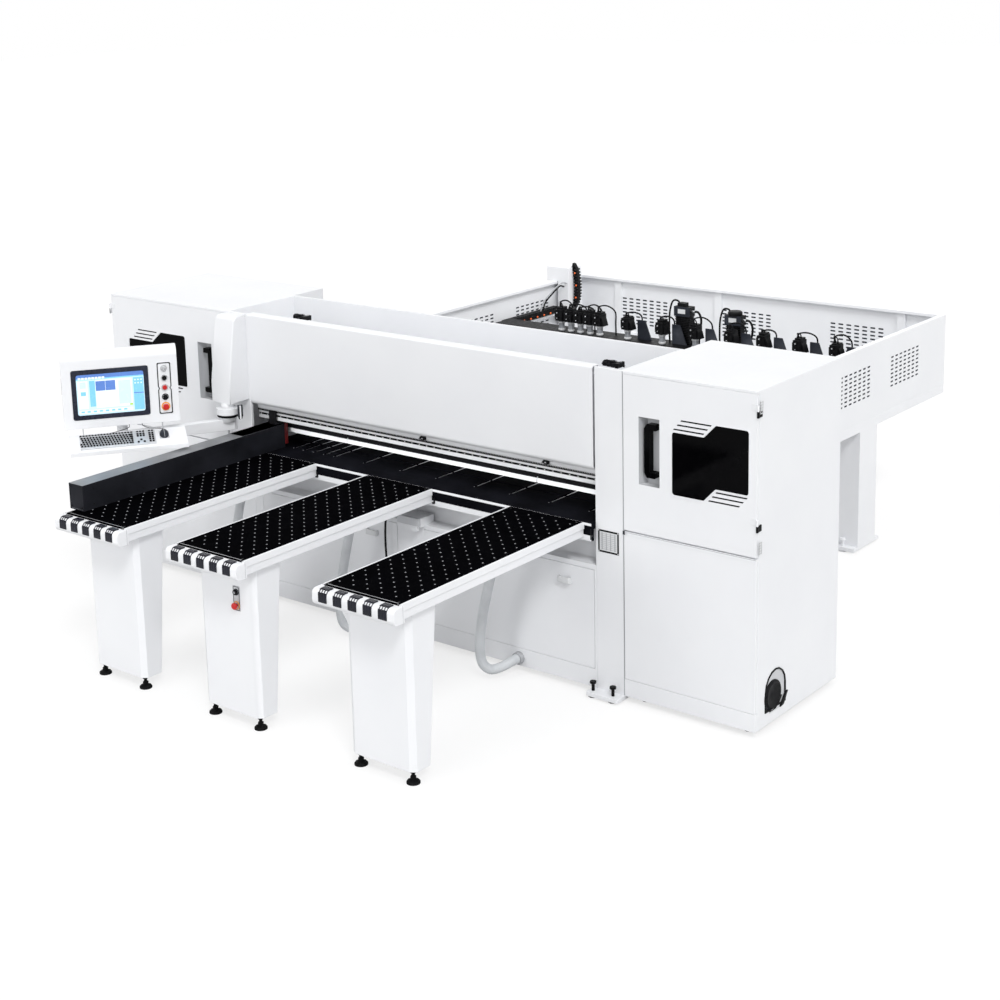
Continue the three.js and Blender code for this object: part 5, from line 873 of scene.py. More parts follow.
# Light plate round the duct's mouth, its rims, the flap and the bright line at the bottom, which is a painted
# glint.
def portTrim():
    angles = np.radians(np.arange(-8, 189, 14))
    outer = [(216.5 + 104 * math.cos(a), 236 + 104 * math.sin(a)) for a in angles]
    y, z, wall = port["y"], port["ductZ"], port["wall"]
    duct = [(y + port["ductRadius"] * math.cos(a), z + port["ductRadius"] * math.sin(a))
            for a in np.radians(np.arange(0, 360, 15))]
    plate = outer + [(113, 150), (150, 112), (300, 112), (320, 150)]
    forms = [cutPlate(plate, [duct], wall, wall + 1.0, 0, 0)]
    forms.append(washer((wall, y, z), 84.0, 92.0, 0, 6.0, 0, 1, 32))
    forms.append(washer((wall, y, z), 74.0, 78.0, -4.0, 2.0, 0, 2, 32))
    forms.append(prism(((262, 98), (300, 104), (345, 170), (316, 158)), 1040.0, 1051.0, 0, 1))
    # A painted glint along the port's bottom edge.
    forms.append(block((1040.0, 1046.0), (150, 258), (98, 103), 3))
    return forms


addPiece("port_trim", "machine", portTrim(), ["shade", "plastic", "slateAndVentShade", "labelAndGlint"])


hinges = {"x": (1051.0, 1052.3), "y": (4.0, 36.0), "heights": (1090.0, 1862.0), "rail": 6.0, "rungPitch": 15}


# Ladder hinges on the right cabinet's side: two rails and five rungs each.
def hingeLadders():
    forms = []
    for z in hinges["heights"]:
        for y in (hinges["y"][0], hinges["y"][1] - hinges["rail"]):
            forms.append(block(hinges["x"], (y, y + hinges["rail"]), (z - 34, z + 34), 0))
        for k in range(-2, 3):
            rung = z + k * hinges["rungPitch"]
            forms.append(block(hinges["x"], hinges["y"], (rung - 3, rung + 3), 0))
    return forms


# The dark joint between a post and its cabinet, and the catch at the end of the groove below the door.
def cabinetJoints():
    forms = [block((187.0, 191.5), (-0.9, 0.5), (40, 1950), 0)]
    forms.append(block((191.5, 1046.0), (-11.9, -10.9), (1026.5, 1029.0), 0))
    forms.append(block((193.0, 206.0), (-12.6, -11.0), (1012.0, 1034.0), 1))
    return forms


addPiece("cabinet_joints", "machine", cabinetJoints(), ["grey", "slateAndVentShade"])
addPiece("hinge_ladders", "machine", hingeLadders(), ["labelAndGlint"])
specPlate = {"x": (17.0, 158.0), "z": (876.0, 1009.0), "face": 0.0, "rows": 9, "rowPitch": 11.2, "columns": 4,
             "columnPitch": 29.0}


# A blank data plate: a black frame with light corners, and grey rules across and down.
def specPlateForms():
    x, z, face = specPlate["x"], specPlate["z"], specPlate["face"]
    outer = rectangle(x, z)
    inner = rectangle((x[0] + 10, x[1] - 10), (z[0] + 10, z[1] - 10))
    forms = [cutPlate(outer, [inner], face - 1.6, face - 0.1, 1, 0)]
    forms.append(block((x[0] + 9, x[1] - 9), (face - 0.9, face - 0.1), (z[0] + 9, z[1] - 9), 1))
    for cornerX in (x[0] + 5, x[1] - 5):
        for cornerZ in (z[0] + 5, z[1] - 5):
            forms.append(stud((cornerX, face - 1.5, cornerZ), 4.0, 0, -1.2, 1, 1, 12))
    for row in range(specPlate["rows"]):
        height = z[0] + 20 + row * specPlate["rowPitch"]
        forms.append(block((x[0] + 17, x[1] - 17), (face - 1.3, face - 0.8), (height, height + 2.4), 2))
    for column in range(specPlate["columns"]):
        across = x[0] + 24 + column * specPlate["columnPitch"]
        forms.append(block((across, across + 7), (face - 1.4, face - 0.8), (z[0] + 16, z[1] - 16), 2))
    return forms


addPiece("spec_plate", "machine", specPlateForms(), ["plastic", "labelAndGlint", "grey"])


# The housing's dark ring lies near the pivot's axis and below the housing.
def housingFaces(centres, normals):
    ring = np.hypot(centres[:, 0] - pivotPlace[0], centres[:, 1] - pivotPlace[1]) < 80
    return (ring & (centres[:, 2] < 1301)).astype(int)


dressed("column_housing", ["white", "blackSteel"], housingFaces, 8.0, 3)


# Collar above the pivot, a switch bracket beside it, three rubber stops below it and a thin grey post.
def pivotTrim():
    x, y = pivotPlace[0], pivotPlace[1]
    forms = [lathe(((66, 1302.5), (70, 1304), (70, 1328), (62, 1330)), (x, y, 0), 2, 40, 0)]
    forms.append(block((-2742, -2724), (-150, -120), (1292, 1372), 1))
    forms.append(lathe(((7, -3), (12, 2), (14, 10), (10, 17), (3, 19)), (-2733, -135, 1278), 2, 16, 2))
    forms.append(block((-2722, -2712), (-150, -146), (1280, 1372), 0))
    for z in (1160.0, 1180.0, 1199.0):
        forms.append(lathe(((3, -10), (9, -6), (11, 0), (9, 6), (3, 10)), (-2712, -160, z), 2, 14, 2))
    forms.append(stud((x, y, 1095.0), 7.0, 0, 94.0, 2, 3, 12))
    return forms


addPiece("pivot_trim", "machine", pivotTrim(), ["white", "slateAndVentShade", "rubber", "pocket"])
print("body made")

# Air tables, legs and fence

guide = {"pitch": 103.2, "half": 29.0, "count": 5, "capFront": -1699.0, "capTop": 1039.0, "bottom": 975.5,
         "nose": -1705.0, "inset": 1.6, "rib": 2.6, "ribPitch": 17.0, "bend": 17.0}
nozzles = {"columnPitch": 48.8, "rowPitch": 49.6, "columns": 5, "rows": 30, "front": -1552.0}


# The guides' middles, evenly spread about the table's middle.
def guidePlaces(centre):
    return centre + guide["pitch"] * (np.arange(guide["count"]) - (guide["count"] - 1) / 2)


# Guides stand proud of the cap near their middles, and the spigot hangs below the pan.
def frameFaces(centre):
    def pick(centres, normals):
        near = np.zeros(len(centres), bool)
        for place in guidePlaces(centre):
            near |= np.abs(centres[:, 0] - place) <= guide["half"] + 0.2
        near &= (centres[:, 1] <= -1644) & (centres[:, 2] >= guide["bottom"])
        proud = (centres[:, 2] > guide["capTop"] + 0.2) | (centres[:, 1] < guide["capFront"] - 0.2)
        inGuide = near & (proud | (np.abs(normals[:, 0]) > 0.9))
        spigot = (centres[:, 2] < 959) & (centres[:, 1] > -300)
        return np.where(inGuide, 1, np.where(spigot, 2, 0))

    return pick


# The feet lie low and near the leg's edges, and the control plate stands out of its front.
def legFaces(centre):
    def pick(centres, normals):
        foot = (centres[:, 2] < 72.5) & (np.abs(np.abs(centres[:, 0] - centre) - 184) < 40)
        plate = centres[:, 1] < -1520.5
        return np.where(foot, 1, np.where(plate, 2, 0))

    return pick


# The guides' faces go back by the inset, so that the ribs end at the nose.
def guideShift(places):
    places[places[:, 1] < guide["nose"] + 0.2, 1] += guide["inset"]
    return places


# A rib runs forward along a guide's top, round its nose and down its face.
def guideRibs(centre):
    nose = guide["nose"] + guide["rib"] + 0.1
    top = tableTop - guide["rib"] + 0.9
    angles = np.linspace(0, math.pi / 2, 7)
    bend = guide["bend"]
    around = np.stack((nose + bend - bend * np.sin(angles), top - bend + bend * np.cos(angles)), axis=1)
    profile = np.vstack(((-1648.0, top), (-1668.0, top), around, (nose, 1004.0), (nose, 990.0)))
    route = np.column_stack((np.zeros(len(profile)), profile))
    form = tube(route, guide["rib"], 8, 0)
    places = [place + guide["ribPitch"] * k for place in guidePlaces(centre) for k in (-1, 0, 1)]
    return repeated(form, offsetsAlong(places, 0))


# Ball nozzles stand on every other place of a square lattice.
def tableNozzles(centre):
    count = nozzles["columns"]
    columns, rows = np.meshgrid(np.arange(-count, count), np.arange(nozzles["rows"]))
    shown = (columns + rows + count) % 2 == 0
    x = centre + nozzles["columnPitch"] * (columns[shown] + 0.5)
    y = nozzles["front"] + nozzles["rowPitch"] * rows[shown]
    form = lathe(((4.9, -0.5), (4.9, 0.4), (3.8, 0.8), (2.6, 1.8), (1.0, 2.3)), (0, 0, tableTop), 2, 8, 0)
    return repeated(form, np.stack((x, y, 0 * x), axis=1))


# A light strip lies across the plate behind its front edge, and a button screw holds each corner.
def tableTrim(centre):
    forms = [block((centre - 244, centre + 244), (-1619, -1615.5), (tableTop - 1, tableTop + 0.4), 0)]
    for x in (centre - 236, centre + 236):
        for y in (-1604, -820, -70):
            forms.append(stud((x, y, tableTop), 7.0, -0.5, 1.4, 2, 1, 12))
    return forms


seam = {"half": 282.0, "y": (-1630.6, -1628.6), "side": (952, 1044), "top": (1045.5, 1046.3)}


# The cap's joint with each side rail, as a dark line up the rail's side and over its top.
def capSeams(centre):
    forms = []
    for side in (-1, 1):
        edge = centre + side * seam["half"]
        middle = edge - side * 24
        forms.append(block((edge - 0.3, edge + 0.3), seam["y"], seam["side"], 0))
        forms.append(block((middle - 12, middle + 12), seam["y"], seam["top"], 0))
    return forms


# A leg's two levelling feet: pad, two nuts and a threaded stem.
def levellingFeet(centre):
    forms = []
    for side in (-1, 1):
        place = (centre + side * 184, -1484.0, 0)
        forms.append(lathe(((37.5, 0.4), (37.5, 9), (33, 14), (15, 20), (13, 26)), place, 2, 28, 0))
        forms.append(lathe(((15.5, 27), (17, 28.5), (17, 39), (15.5, 40.5)), place, 2, 6, 0))
        forms.append(lathe(((15.5, 58), (17, 59.5), (17, 70), (15.5, 71.5)), place, 2, 6, 0))
        threads = [(8.2 if k % 2 else 9.2, 26 + k * 1.5) for k in range(30)]
        forms.append(lathe(threads, place, 2, 14, 1))
    return forms


for index, centre in enumerate(tableCentres):
    number = index + 1
    dressed(f"air_table_{number}_frame", ["white", "guide", "grey"], frameFaces(centre), 2.0, shift=guideShift)
    dressed(f"air_table_{number}_plate", ["black"], None, 1.0)
    dressed(f"table_leg_{number}", ["white", "rubber", "silver"], legFaces(centre), 2.0)
    addPiece(f"guide_ribs_{number}", "machine", [guideRibs(centre)], ["guide"])
    addPiece(f"table_nozzles_{number}", "machine", [tableNozzles(centre)], ["nozzle"])
    addPiece(f"table_trim_{number}", "machine", tableTrim(centre), ["silver", "blackSteel"])
    addPiece(f"cap_seams_{number}", "machine", capSeams(centre), ["grey"])
    addPiece(f"levelling_feet_{number}", "machine", levellingFeet(centre), ["rubber", "blackSteel"])


# The fence's top is lighter than its sides.
def fenceFaces(centres, normals):
    return (normals[:, 2] > 0.9).astype(int)


dressed("fence", ["fence", "fenceTop"], fenceFaces, 1.5)
dressed("leg_button", ["plastic"], None, 0.6)
dressed("leg_stop_button", ["red"], None, 0.8)
legPlate = {"x": -1362.0, "face": -1523.0, "button": 800.0, "stop": 722.0, "buttonFace": -1539.2,
            "stopFace": -1551.2}


# The plate has a dark outline and a light upright line; a dark ring lies round its button and an amber
# one round its stop button.
def legPlateTrim():
    x, face = legPlate["x"], legPlate["face"]
    outer = roundedOutline((x - 24, x + 24), (692.5, 832.5), 9)
    inner = roundedOutline((x - 21, x + 21), (695.5, 829.5), 6.5)
    forms = [cutPlate(outer, [inner], face - 0.8, face + 0.5, 1, 0)]
    forms.append(washer((x, face, legPlate["button"]), 15.2, 19.0, 0.3, -3.0, 1, 0))
    forms.append(washer((x, face, legPlate["stop"]), 20.0, 23.5, 0.3, -3.0, 1, 1))
    forms.append(block((x - 1.5, x + 1.5), (face - 0.8, face + 0.5), (748, 776), 2))
    return forms


addPiece("leg_plate_trim", "machine", legPlateTrim(), ["slateAndVentShade", "amber", "labelAndGlint"])
buttonCap = stud((legPlate["x"], legPlate["buttonFace"], legPlate["button"]), 8.5, 0.3, -0.8, 1, 0)
addPiece("leg_button_cap", "leg_button", [buttonCap], ["nozzle"])
stopCap = stud((legPlate["x"], legPlate["stopFace"], legPlate["stop"]), 9.0, 0.3, -0.6, 1, 0)
addPiece("leg_stop_cap", "leg_stop_button", [stopCap], ["red"])
fence = {"side": -2598.0, "end": -1560.0, "sideY": (-1480.0, -1100.0, -720.0, -340.0, 20.0),
         "sideZ": (1078.0, 1172.0), "endX": (-2708.0, -2615.0), "endZ": (1066.0, 1186.0)}


# Screws of the fence: two rows along its side and four on its end.
def fenceScrews():
    side = [(fence["side"], y, z) for y in fence["sideY"] for z in fence["sideZ"]]
    end = [(x, fence["end"], z) for x in fence["endX"] for z in fence["endZ"]]
    return ([stud(place, 6.0, -0.5, 2.2, 0, 0, 12) for place in side]
            + [stud(place, 5.0, 0.5, -2.0, 1, 0, 12) for place in end])


addPiece("fence_screws", "machine", fenceScrews(), ["plastic"])
fenceEnd = block((-2722.0, -2601.0), (-1558.0, -1554.0), (1049.3, 1203.0), 0)
fenceRear = block((-2724.0, -2599.0), (-250.0, 129.0), (1205.6, 1206.0), 1)
addPiece("fence_covers", "machine", [fenceEnd, fenceRear], ["fence", "slateAndVentShade"])
print("tables made")

# Rear guards, frame and pusher

guard = {"left": -3256.0, "right": 100.0, "front": 637.3, "leftFront": 931.0, "back": 4446.0, "sheet": 6.0,
         "low": 944.0, "high": 1480.0, "flange": 40.0, "lip": 14.0, "seams": (-2878.3, -1893.0, -280.0),
         "seamWidth": 66.0, "seamDepth": 20.0}
vent = {"columns": 7, "rows": 8, "width": 44.0, "height": 13.0, "columnPitch": 68.0, "rowPitch": 30.0}


# Rounded slots of a vent, from its first column's edge and its top row.
def ventSlots(start, top):
    slots = []
    for column in range(vent["columns"]):
        for row in range(vent["rows"]):
            u = start + column * vent["columnPitch"]
            v = top - row * vent["rowPitch"]
            slots.append(roundedOutline((u, u + vent["width"]), (v - vent["height"], v), 6.4, 3))
    return slots


# Behind a vent's slots a darker sheet lies in the middle of the plate: painted shade, so that the slots look
# dark from both sides.
def guardPlate(span, starts, top, low, high, axis):
    holes = [slot for start in starts for slot in ventSlots(start, top)]
    forms = [cutPlate(rectangle(span, (guard["low"], guard["high"])), holes, low, high, axis)]
    middle = (low + high) / 2
    wide = (vent["columns"] - 1) * vent["columnPitch"] + vent["width"]
    tall = (vent["rows"] - 1) * vent["rowPitch"] + vent["height"]
    for start in starts:
        outline = rectangle((start - 3, start + wide + 3), (top - tall - 3, top + 3))
        forms.append(prism(outline, middle - 0.5, middle + 0.5, axis, 1))
    return forms


# The flange turns in at the top and down again in a narrow lip.
def sideFlange(wall, inward, span):
    sheet = guard["sheet"]
    edge = wall + inward * guard["flange"]
    x = sorted((wall + inward * sheet, edge))
    lip = sorted((edge - inward * 3, edge))
    return [block(x, span, (guard["high"] - sheet, guard["high"])),
            block(lip, span, (guard["high"] - sheet - guard["lip"], guard["high"] - sheet))]


# The back plate with its flange and lip, and a fold at each seam that stiffens it.
def backGuard():
    sheet, back = guard["sheet"], guard["back"]
    front = back - sheet
    forms = guardPlate((guard["left"], guard["right"]), (-2813.0, -1833.0, -851.0), 1317.0, front, back, 1)
    span = (guard["left"] + guard["flange"] + 0.3, guard["right"] - guard["flange"] - 0.3)
    forms.append(block(span, (front - guard["flange"], front), (guard["high"] - sheet, guard["high"])))
    forms.append(block(span, (front - guard["flange"], front - guard["flange"] + 3),
                       (guard["high"] - sheet - guard["lip"], guard["high"] - sheet)))
    for x in guard["seams"]:
        forms.append(block((x, x + guard["seamWidth"]), (front - guard["seamDepth"], front),
                           (guard["low"], guard["high"] - sheet)))
    return forms


backEnd = guard["back"] - guard["sheet"] - 0.3
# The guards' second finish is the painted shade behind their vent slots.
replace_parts(addPiece("back_guard_sheet", "machine", backGuard(), ["white", "slateAndVentShade"]), "back_guard")
rightSpan = (guard["front"], backEnd)
rightForms = guardPlate(rightSpan, (2760.0, 3537.0), 1333.0, guard["right"] - guard["sheet"], guard["right"], 0)
rightForms += sideFlange(guard["right"], -1, rightSpan)
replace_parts(addPiece("right_guard_sheet", "machine", rightForms, ["white", "slateAndVentShade"]), "right_guard")
leftSpan = (guard["leftFront"], backEnd)
leftForms = guardPlate(leftSpan, (2760.0, 3514.0), 1341.0, guard["left"], guard["left"] + guard["sheet"], 0)
leftForms += sideFlange(guard["left"], 1, leftSpan)
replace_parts(addPiece("left_guard_sheet", "machine", leftForms, ["white", "slateAndVentShade"]), "left_guard")
dressed("rear_frame", ["white"], None, 1.2)

# Energy chain beside the left guard: links and pins on a light rail, and orange spots on its edge
chain = {"x": (-3249.5, -3186.0), "start": 3314.0, "end": 4046.0, "z": (1222.0, 1268.0), "pitch": 28.0}


# One link and one pin, repeated at the chain's pitch, with the rail under them.
def chainLinks():
    x = chain["x"]
    links = block((x[0] + 3, x[1]), (0, chain["pitch"] * 0.72), chain["z"], 0)
    pins = block((x[0] + 8, x[1] - 5), (0, chain["pitch"]), (chain["z"][0] + 5, chain["z"][1] - 5), 0)
    along = np.arange(chain["start"], chain["end"] - chain["pitch"], chain["pitch"])
    forms = [repeated(links, offsetsAlong(along, 1)), repeated(pins, offsetsAlong(along, 1))]
    forms.append(block((x[0], x[1] + 4), (chain["start"], 4400), (1200, 1214), 1))
    for k in range(8):
        forms.append(stud((x[1], chain["start"] + 40 + k * 92, 1230), 9.0, -1.0, 5.0, 0, 2, 12))
    return forms


addPiece("energy_chain", "machine", chainLinks(), ["plastic", "silver", "orange"])


hangingChain = {"wall": -3116.0, "share": 0.5, "start": -3079.0, "top": 1600.5}


# The hanging chain lies right of the pillar and over its top.
def pillarFaces(centres, normals):
    return ((centres[:, 0] > hangingChain["start"]) | (centres[:, 2] > hangingChain["top"])).astype(int)


# The chain is drawn in towards the pillar: a share of its distance from the pillar's wall is left.
def pillarShift(places):
    wall = hangingChain["wall"]
    chainSide = places[:, 0] > wall + 0.5
    places[chainSide, 0] = wall + (places[chainSide, 0] - wall) * hangingChain["share"]
    return places


dressed("cable_pillar", ["white", "plastic"], pillarFaces, 1.5, shift=pillarShift)


# Ribs round the hanging chain, orange spots on its edge, and two thin cables from it to the energy chain.
def pillarTrim():
    x, y, top = -3096.0, 4145.0, 1600.0
    bend = [(x + 18 * out, y, top - 70 * drop) for out, drop in ((-0.6, 0.1), (0.5, 0.26), (1, 1), (1.5, 2),
                                                                  (1, 4), (-0.4, 4.7))]
    route = curveThrough(bend, 26.0)[0]
    forms = [block((px - 14, px + 14), (y - 37, y + 37), (pz - 7, pz + 7), 0) for px, _, pz in route]
    forms += [stud((px + 8, y - 37, pz), 8.0, 0.5, -5.0, 1, 1, 12) for px, _, pz in route[2::4]]
    forms.append(cable([(-3150, 4052, 1440), (-3150, 4000, 1452), (-3160, 3900, 1400), (-3190, 3840, 1330),
                        (-3200, 3820, 1262)], 7.0, 0))
    forms.append(cable([(-3120, 4052, 1470), (-3118, 3985, 1484), (-3140, 3880, 1430), (-3180, 3800, 1340),
                        (-3196, 3780, 1262)], 5.0, 2))
    return forms


addPiece("pillar_trim", "machine", pillarTrim(), ["plastic", "orange", "grey"])


# The pressure beam's front band and the walls of its saw slot are dark.
def beamFaces(centres, normals):
    band = within(centres[:, 2], 1160, 1204) & (centres[:, 1] < 209)
    inner = within(centres[:, 1], 288, 312)
    return (band | inner).astype(int)


dressed("pressure_beam", ["aluminium", "blackSteel"], beamFaces, 1.2)


# The aligner's slide is dark above its red finger.
def alignerFaces(centres, normals):
    return (centres[:, 2] > 1150).astype(int)


dressed("side_aligner", ["darkRed", "plastic"], alignerFaces, 2.0)
for node in ("saw_carriage", "saw_unit"):
    dressed(node, ["slateAndVentShade"], None, 1.5)
for node in ("main_blade", "scoring_blade"):
    dressed(node, ["bright"], None, 0.4)


# A gripper's cylinder, its valve and the plate beside it lie in bands of depth and height.
def pusherFaces(centres, normals):
    cylinder = within(centres[:, 2], 1290.5, 1371.5) & within(centres[:, 1], 3150, 3206)
    valve = within(centres[:, 2], 1371, 1463) & within(centres[:, 1], 3130, 3226)
    gusset = (centres[:, 2] > 1291) & within(centres[:, 1], 3229, 3241)
    return np.where(cylinder & ~valve, 1, np.where(gusset, 2, 0))


dressed("pusher_beam", ["blackSteel", "nozzle", "slateAndVentShade"], pusherFaces, 1.5)
gripper = {"y": 3178.0, "valveFront": 3133.0, "valveTop": 1462.0}


# Each gripper has bands on its cylinder, fittings on its valve and two air hoses that arch to the beam.
def gripperTrim(index, x):
    y, front, top = gripper["y"], gripper["valveFront"], gripper["valveTop"]
    forms = []
    for z in (1296.0, 1352.0):
        forms.append(lathe(((25, 0), (27.5, 2), (27.5, 12), (25, 14)), (x, y, z), 2, 24, 1))
    forms.append(lathe(((17, -1), (17, 9), (11, 12), (11, 22), (7, 24), (7, 32)), (x - 12, y, top), 2, 12, 0))
    forms.append(lathe(((9, -1), (9, 14), (6, 16), (6, 26)), (x + 18, y - 14, top), 2, 12, 4))
    for z, radius in ((1440.0, 10.0), (1398.0, 8.0)):
        forms.append(stud((x - 4, front, z), radius, 1.0, -14.0, 1, 4, 14))
        forms.append(stud((x - 4, front - 12, z), radius * 0.5, 1.0, -6.0, 1, 2, 10))
    forms.append(block((x - 40, x - 26), (front + 6, front + 60), (1386.0, 1444.0), 4))
    forms.append(block((x - 22, x + 26), (front + 12, front + 84), (top - 2, top + 9 + 5 * (index % 3)), 4))
    side = [(x + 30, 1372), (x + 58, 1372), (x + 44, 1420), (x + 30, 1446)]
    forms.append(prism(side, front + 14, front + 78, 1, 4))
    reach = 84 + 22 * math.sin(index * 2.1)
    rise = 52 + 16 * math.cos(index * 1.7)
    wide = [(x - 12, y, top + 30), (x - 10, y, top + rise * 0.8), (x + reach * 0.5, y + 24, top + rise),
            (x + reach, y + 60, top + rise * 0.3), (x + reach, y + 70, 1380), (x + reach, y + 72, 1288)]
    narrow = [(x + 18, y - 14, top + 24), (x + 20, y - 20, top + 40), (x - 24, y + 14, top + rise * 0.8),
              (x - 46, y + 56, top + 8), (x - 44, y + 70, 1360), (x - 44, y + 72, 1288)]
    return forms + [cable(wide, 6.0, 0), cable(narrow, 4.5, 0)]


trim = [form for index, x in enumerate(slotPlaces) for form in gripperTrim(index, x)]
addPiece("gripper_trim", "pusher", trim, ["plastic", "labelAndGlint", "bright", "grey", "blackSteel"])
motors = {"places": ((-1465.0, 1580.0), (-1025.0, 1560.0)), "y": 3276.0, "finPitch": 13.0, "foot": 1288}


# A drive motor: fins round its body, a blank plate, a gland and its cable, and the second has a round cap.
def motorTrim(index, x, top):
    y, foot = motors["y"], motors["foot"]
    fin = block((x - 64, x + 64), (y - 30, y + 42), (0, 5), 0)
    heights = np.arange(1300.0, top - 84, motors["finPitch"])
    forms = [repeated(fin, offsetsAlong(heights, 2))]
    forms.append(block((x - 34, x + 30), (3238.5, 3240.5), (top - 52, top - 18), 1))
    forms.append(stud((x + 69, y, top - 34), 11.0, 0, 24.0, 0, 2, 12))
    forms.append(cable([(x + 92, y, top - 34), (x + 120, y, top - 34), (x + 150, y - 4, top - 80),
                        (x + 140, y - 8, 1380), (x + 134, y - 10, foot)], 9.0, 0))
    forms.append(cable([(x - 40, y, top - 2), (x - 44, y - 6, top + 34), (x - 84, y - 14, top + 40),
                        (x - 112, y - 20, top - 30), (x - 116, y - 26, 1390), (x - 112, y - 26, foot)], 7.0, 0))
    if index:
        forms.append(lathe(((52, -2), (54, 2), (54, 22), (46, 30), (20, 32)), (x, y + 1, top), 2, 24, 0))
        forms.append(lathe(((58, 0), (60, 2), (60, 12), (58, 14)), (x, y + 1, foot + 2), 2, 24, 2))
    else:
        forms.append(block((x - 44, x + 20), (y - 26, y + 29), (top - 1, top + 26), 0))
    return forms


motorForms = [form for index, place in enumerate(motors["places"]) for form in motorTrim(index, *place)]
addPiece("motor_trim", "pusher", motorForms, ["blackSteel", "labelAndGlint", "bright"])
for number in range(1, 6):
    dressed(f"gripper_jaw_{number}", ["bright"], None, 1.0)
print("pusher made")

# Console


# The rubber ring lies round the pivot, between two radii and two heights.
def armFaces(centres, normals):
    away = np.hypot(centres[:, 0] - pivotPlace[0], centres[:, 1] - pivotPlace[1])
    ring = within(away, 60, 84) & within(centres[:, 2], 1276, 1301) & (np.abs(normals[:, 2]) < 0.9)
    return ring.astype(int)


dressed("swing_arm", ["white", "rubber"], armFaces, 5.0, 3)
dressed("console_housing", ["white"], None, 1.5)
dressed("monitor", ["bezel"], None, 1.0)
screen = {"x": (-273.0, 149.0), "z": (1420.5, 1683.5), "face": -100.2}
# Shares of the screen from its left and from its top: left, right, top, bottom, finish slot and layer.
screenAreas = (
    (0.0, 1.0, 0.0, 1.0, 0, 0), (0.0, 1.0, 0.0, 0.1, 2, 1), (0.0, 1.0, 0.1, 0.13, 1, 1),
    (0.02, 0.165, 0.16, 0.84, 3, 1), (0.06, 0.135, 0.42, 0.52, 1, 2), (0.05, 0.14, 0.18, 0.34, 0, 2),
    (0.19, 0.275, 0.16, 0.8, 1, 1), (0.28, 0.82, 0.16, 0.84, 3, 1), (0.285, 0.425, 0.18, 0.42, 2, 2),
    (0.43, 0.575, 0.18, 0.42, 2, 2), (0.62, 0.8, 0.2, 0.78, 0, 2), (0.84, 0.99, 0.15, 0.53, 1, 1),
    (0.84, 0.99, 0.56, 0.96, 1, 1), (0.84, 0.99, 0.53, 0.555, 2, 1), (0.02, 0.82, 0.88, 0.96, 3, 1),
    (0.775, 0.82, 0.79, 0.83, 4, 2),
)


# Plain panes in three layers fill the screen: each is a share of its width and height.
def screenForms():
    left, right = screen["x"]
    low, high = screen["z"]

    def pane(u0, u1, v0, v1, slot, layer):
        front = screen["face"] - 0.4 * (layer + 1)
        return block((left + (right - left) * u0, left + (right - left) * u1), (front, front + 0.35),
                     (high - (high - low) * v1, high - (high - low) * v0), slot)

    forms = [pane(*area) for area in screenAreas]
    forms += [pane(0.03 + 0.05 * k, 0.07 + 0.05 * k, 0.07, 0.12, 3, 2) for k in range(8)]
    for k in range(6):
        across, down = 0.045 * (k % 3), 0.08 * (k // 3)
        forms.append(pane(0.86 + across, 0.88 + across, 0.2 + down, 0.23 + down, 3, 2))
    forms += [pane(0.05 + 0.09 * k, 0.1 + 0.09 * k, 0.9, 0.94, 1, 2) for k in range(8)]
    return forms


addPiece("screen_picture", "console", screenForms(),
         ["screenPale", "screenSky", "screenBlue", "screenWhite", "screenGreen"], place=consoleRow)
panel = {"x": 278.0, "face": -103.0, "half": 43.0, "z": (1389.0, 1725.0), "notch": 1557.0,
         "controls": (1687.0, 1624.5, 1562.0, 1499.5, 1437.0)}


# The control panel's black line has a notch in each long side, and a ring lies round each control.
def panelTrim():
    x, face, (low, high) = panel["x"], panel["face"], panel["z"]

    def outline(inset):
        half = panel["half"] - inset
        points = roundedOutline((x - half, x + half), (low + inset, high - inset), 9)
        left = points.index(min(points, key=lambda p: (p[0], -p[1])))
        notch = panel["notch"]
        points[left + 1:left + 1] = [(x - half, notch + 12), (x - half + 7, notch), (x - half, notch - 12)]
        return points + [(x + half, notch - 12), (x + half - 7, notch), (x + half, notch + 12)]

    forms = [cutPlate(outline(0.0), [outline(6.5)], face - 0.9, face + 0.4, 1, 0)]
    rings = ((16.0, 21.0, 1), (16.0, 21.0, 1), (16.0, 21.0, 1), (16.0, 21.5, 0), (21.0, 28.0, 2))
    for (inner, outer, slot), z in zip(rings, panel["controls"]):
        forms.append(washer((x, face, z), inner, outer, 0.4, -2.2, 1, slot))
    return forms


addPiece("panel_trim", "console", panelTrim(), ["plastic", "bright", "amber"], place=consoleRow)
vents = [block((-363.9, -362.5), (-80 + 14 * k, -74 + 14 * k), (1560, 1662), 0) for k in range(2)]
addPiece("console_vents", "console", vents, ["plastic"], place=consoleRow)
keys = {"left": -270.0, "pitch": 18.6, "size": 15.0, "rows": (-155.0, -182.0, -205.0, -228.0, -251.0, -275.0),
        "gaps": (18, 22), "count": 25, "missing": ((3, 19), (3, 20), (3, 21), (4, 19), (4, 21), (5, 20)),
        "narrowing": 0.8, "slope": 0.28}
keyCorners = np.array(((-1.0, -1.0), (1.0, -1.0), (1.0, 1.0), (-1.0, 1.0)))
tray = {"back": 1296, "fall": 60, "depth": 250}


# The tray's top falls by its fall over its depth towards the user.
def trayTop(y):
    return tray["back"] - tray["fall"] * (-100 - y) / tray["depth"]


# The keyboard's top stands above the tray's and rises towards the console.
def keyboardTop(y):
    return trayTop(y) + 8 + 8 * (y + 300) / 160


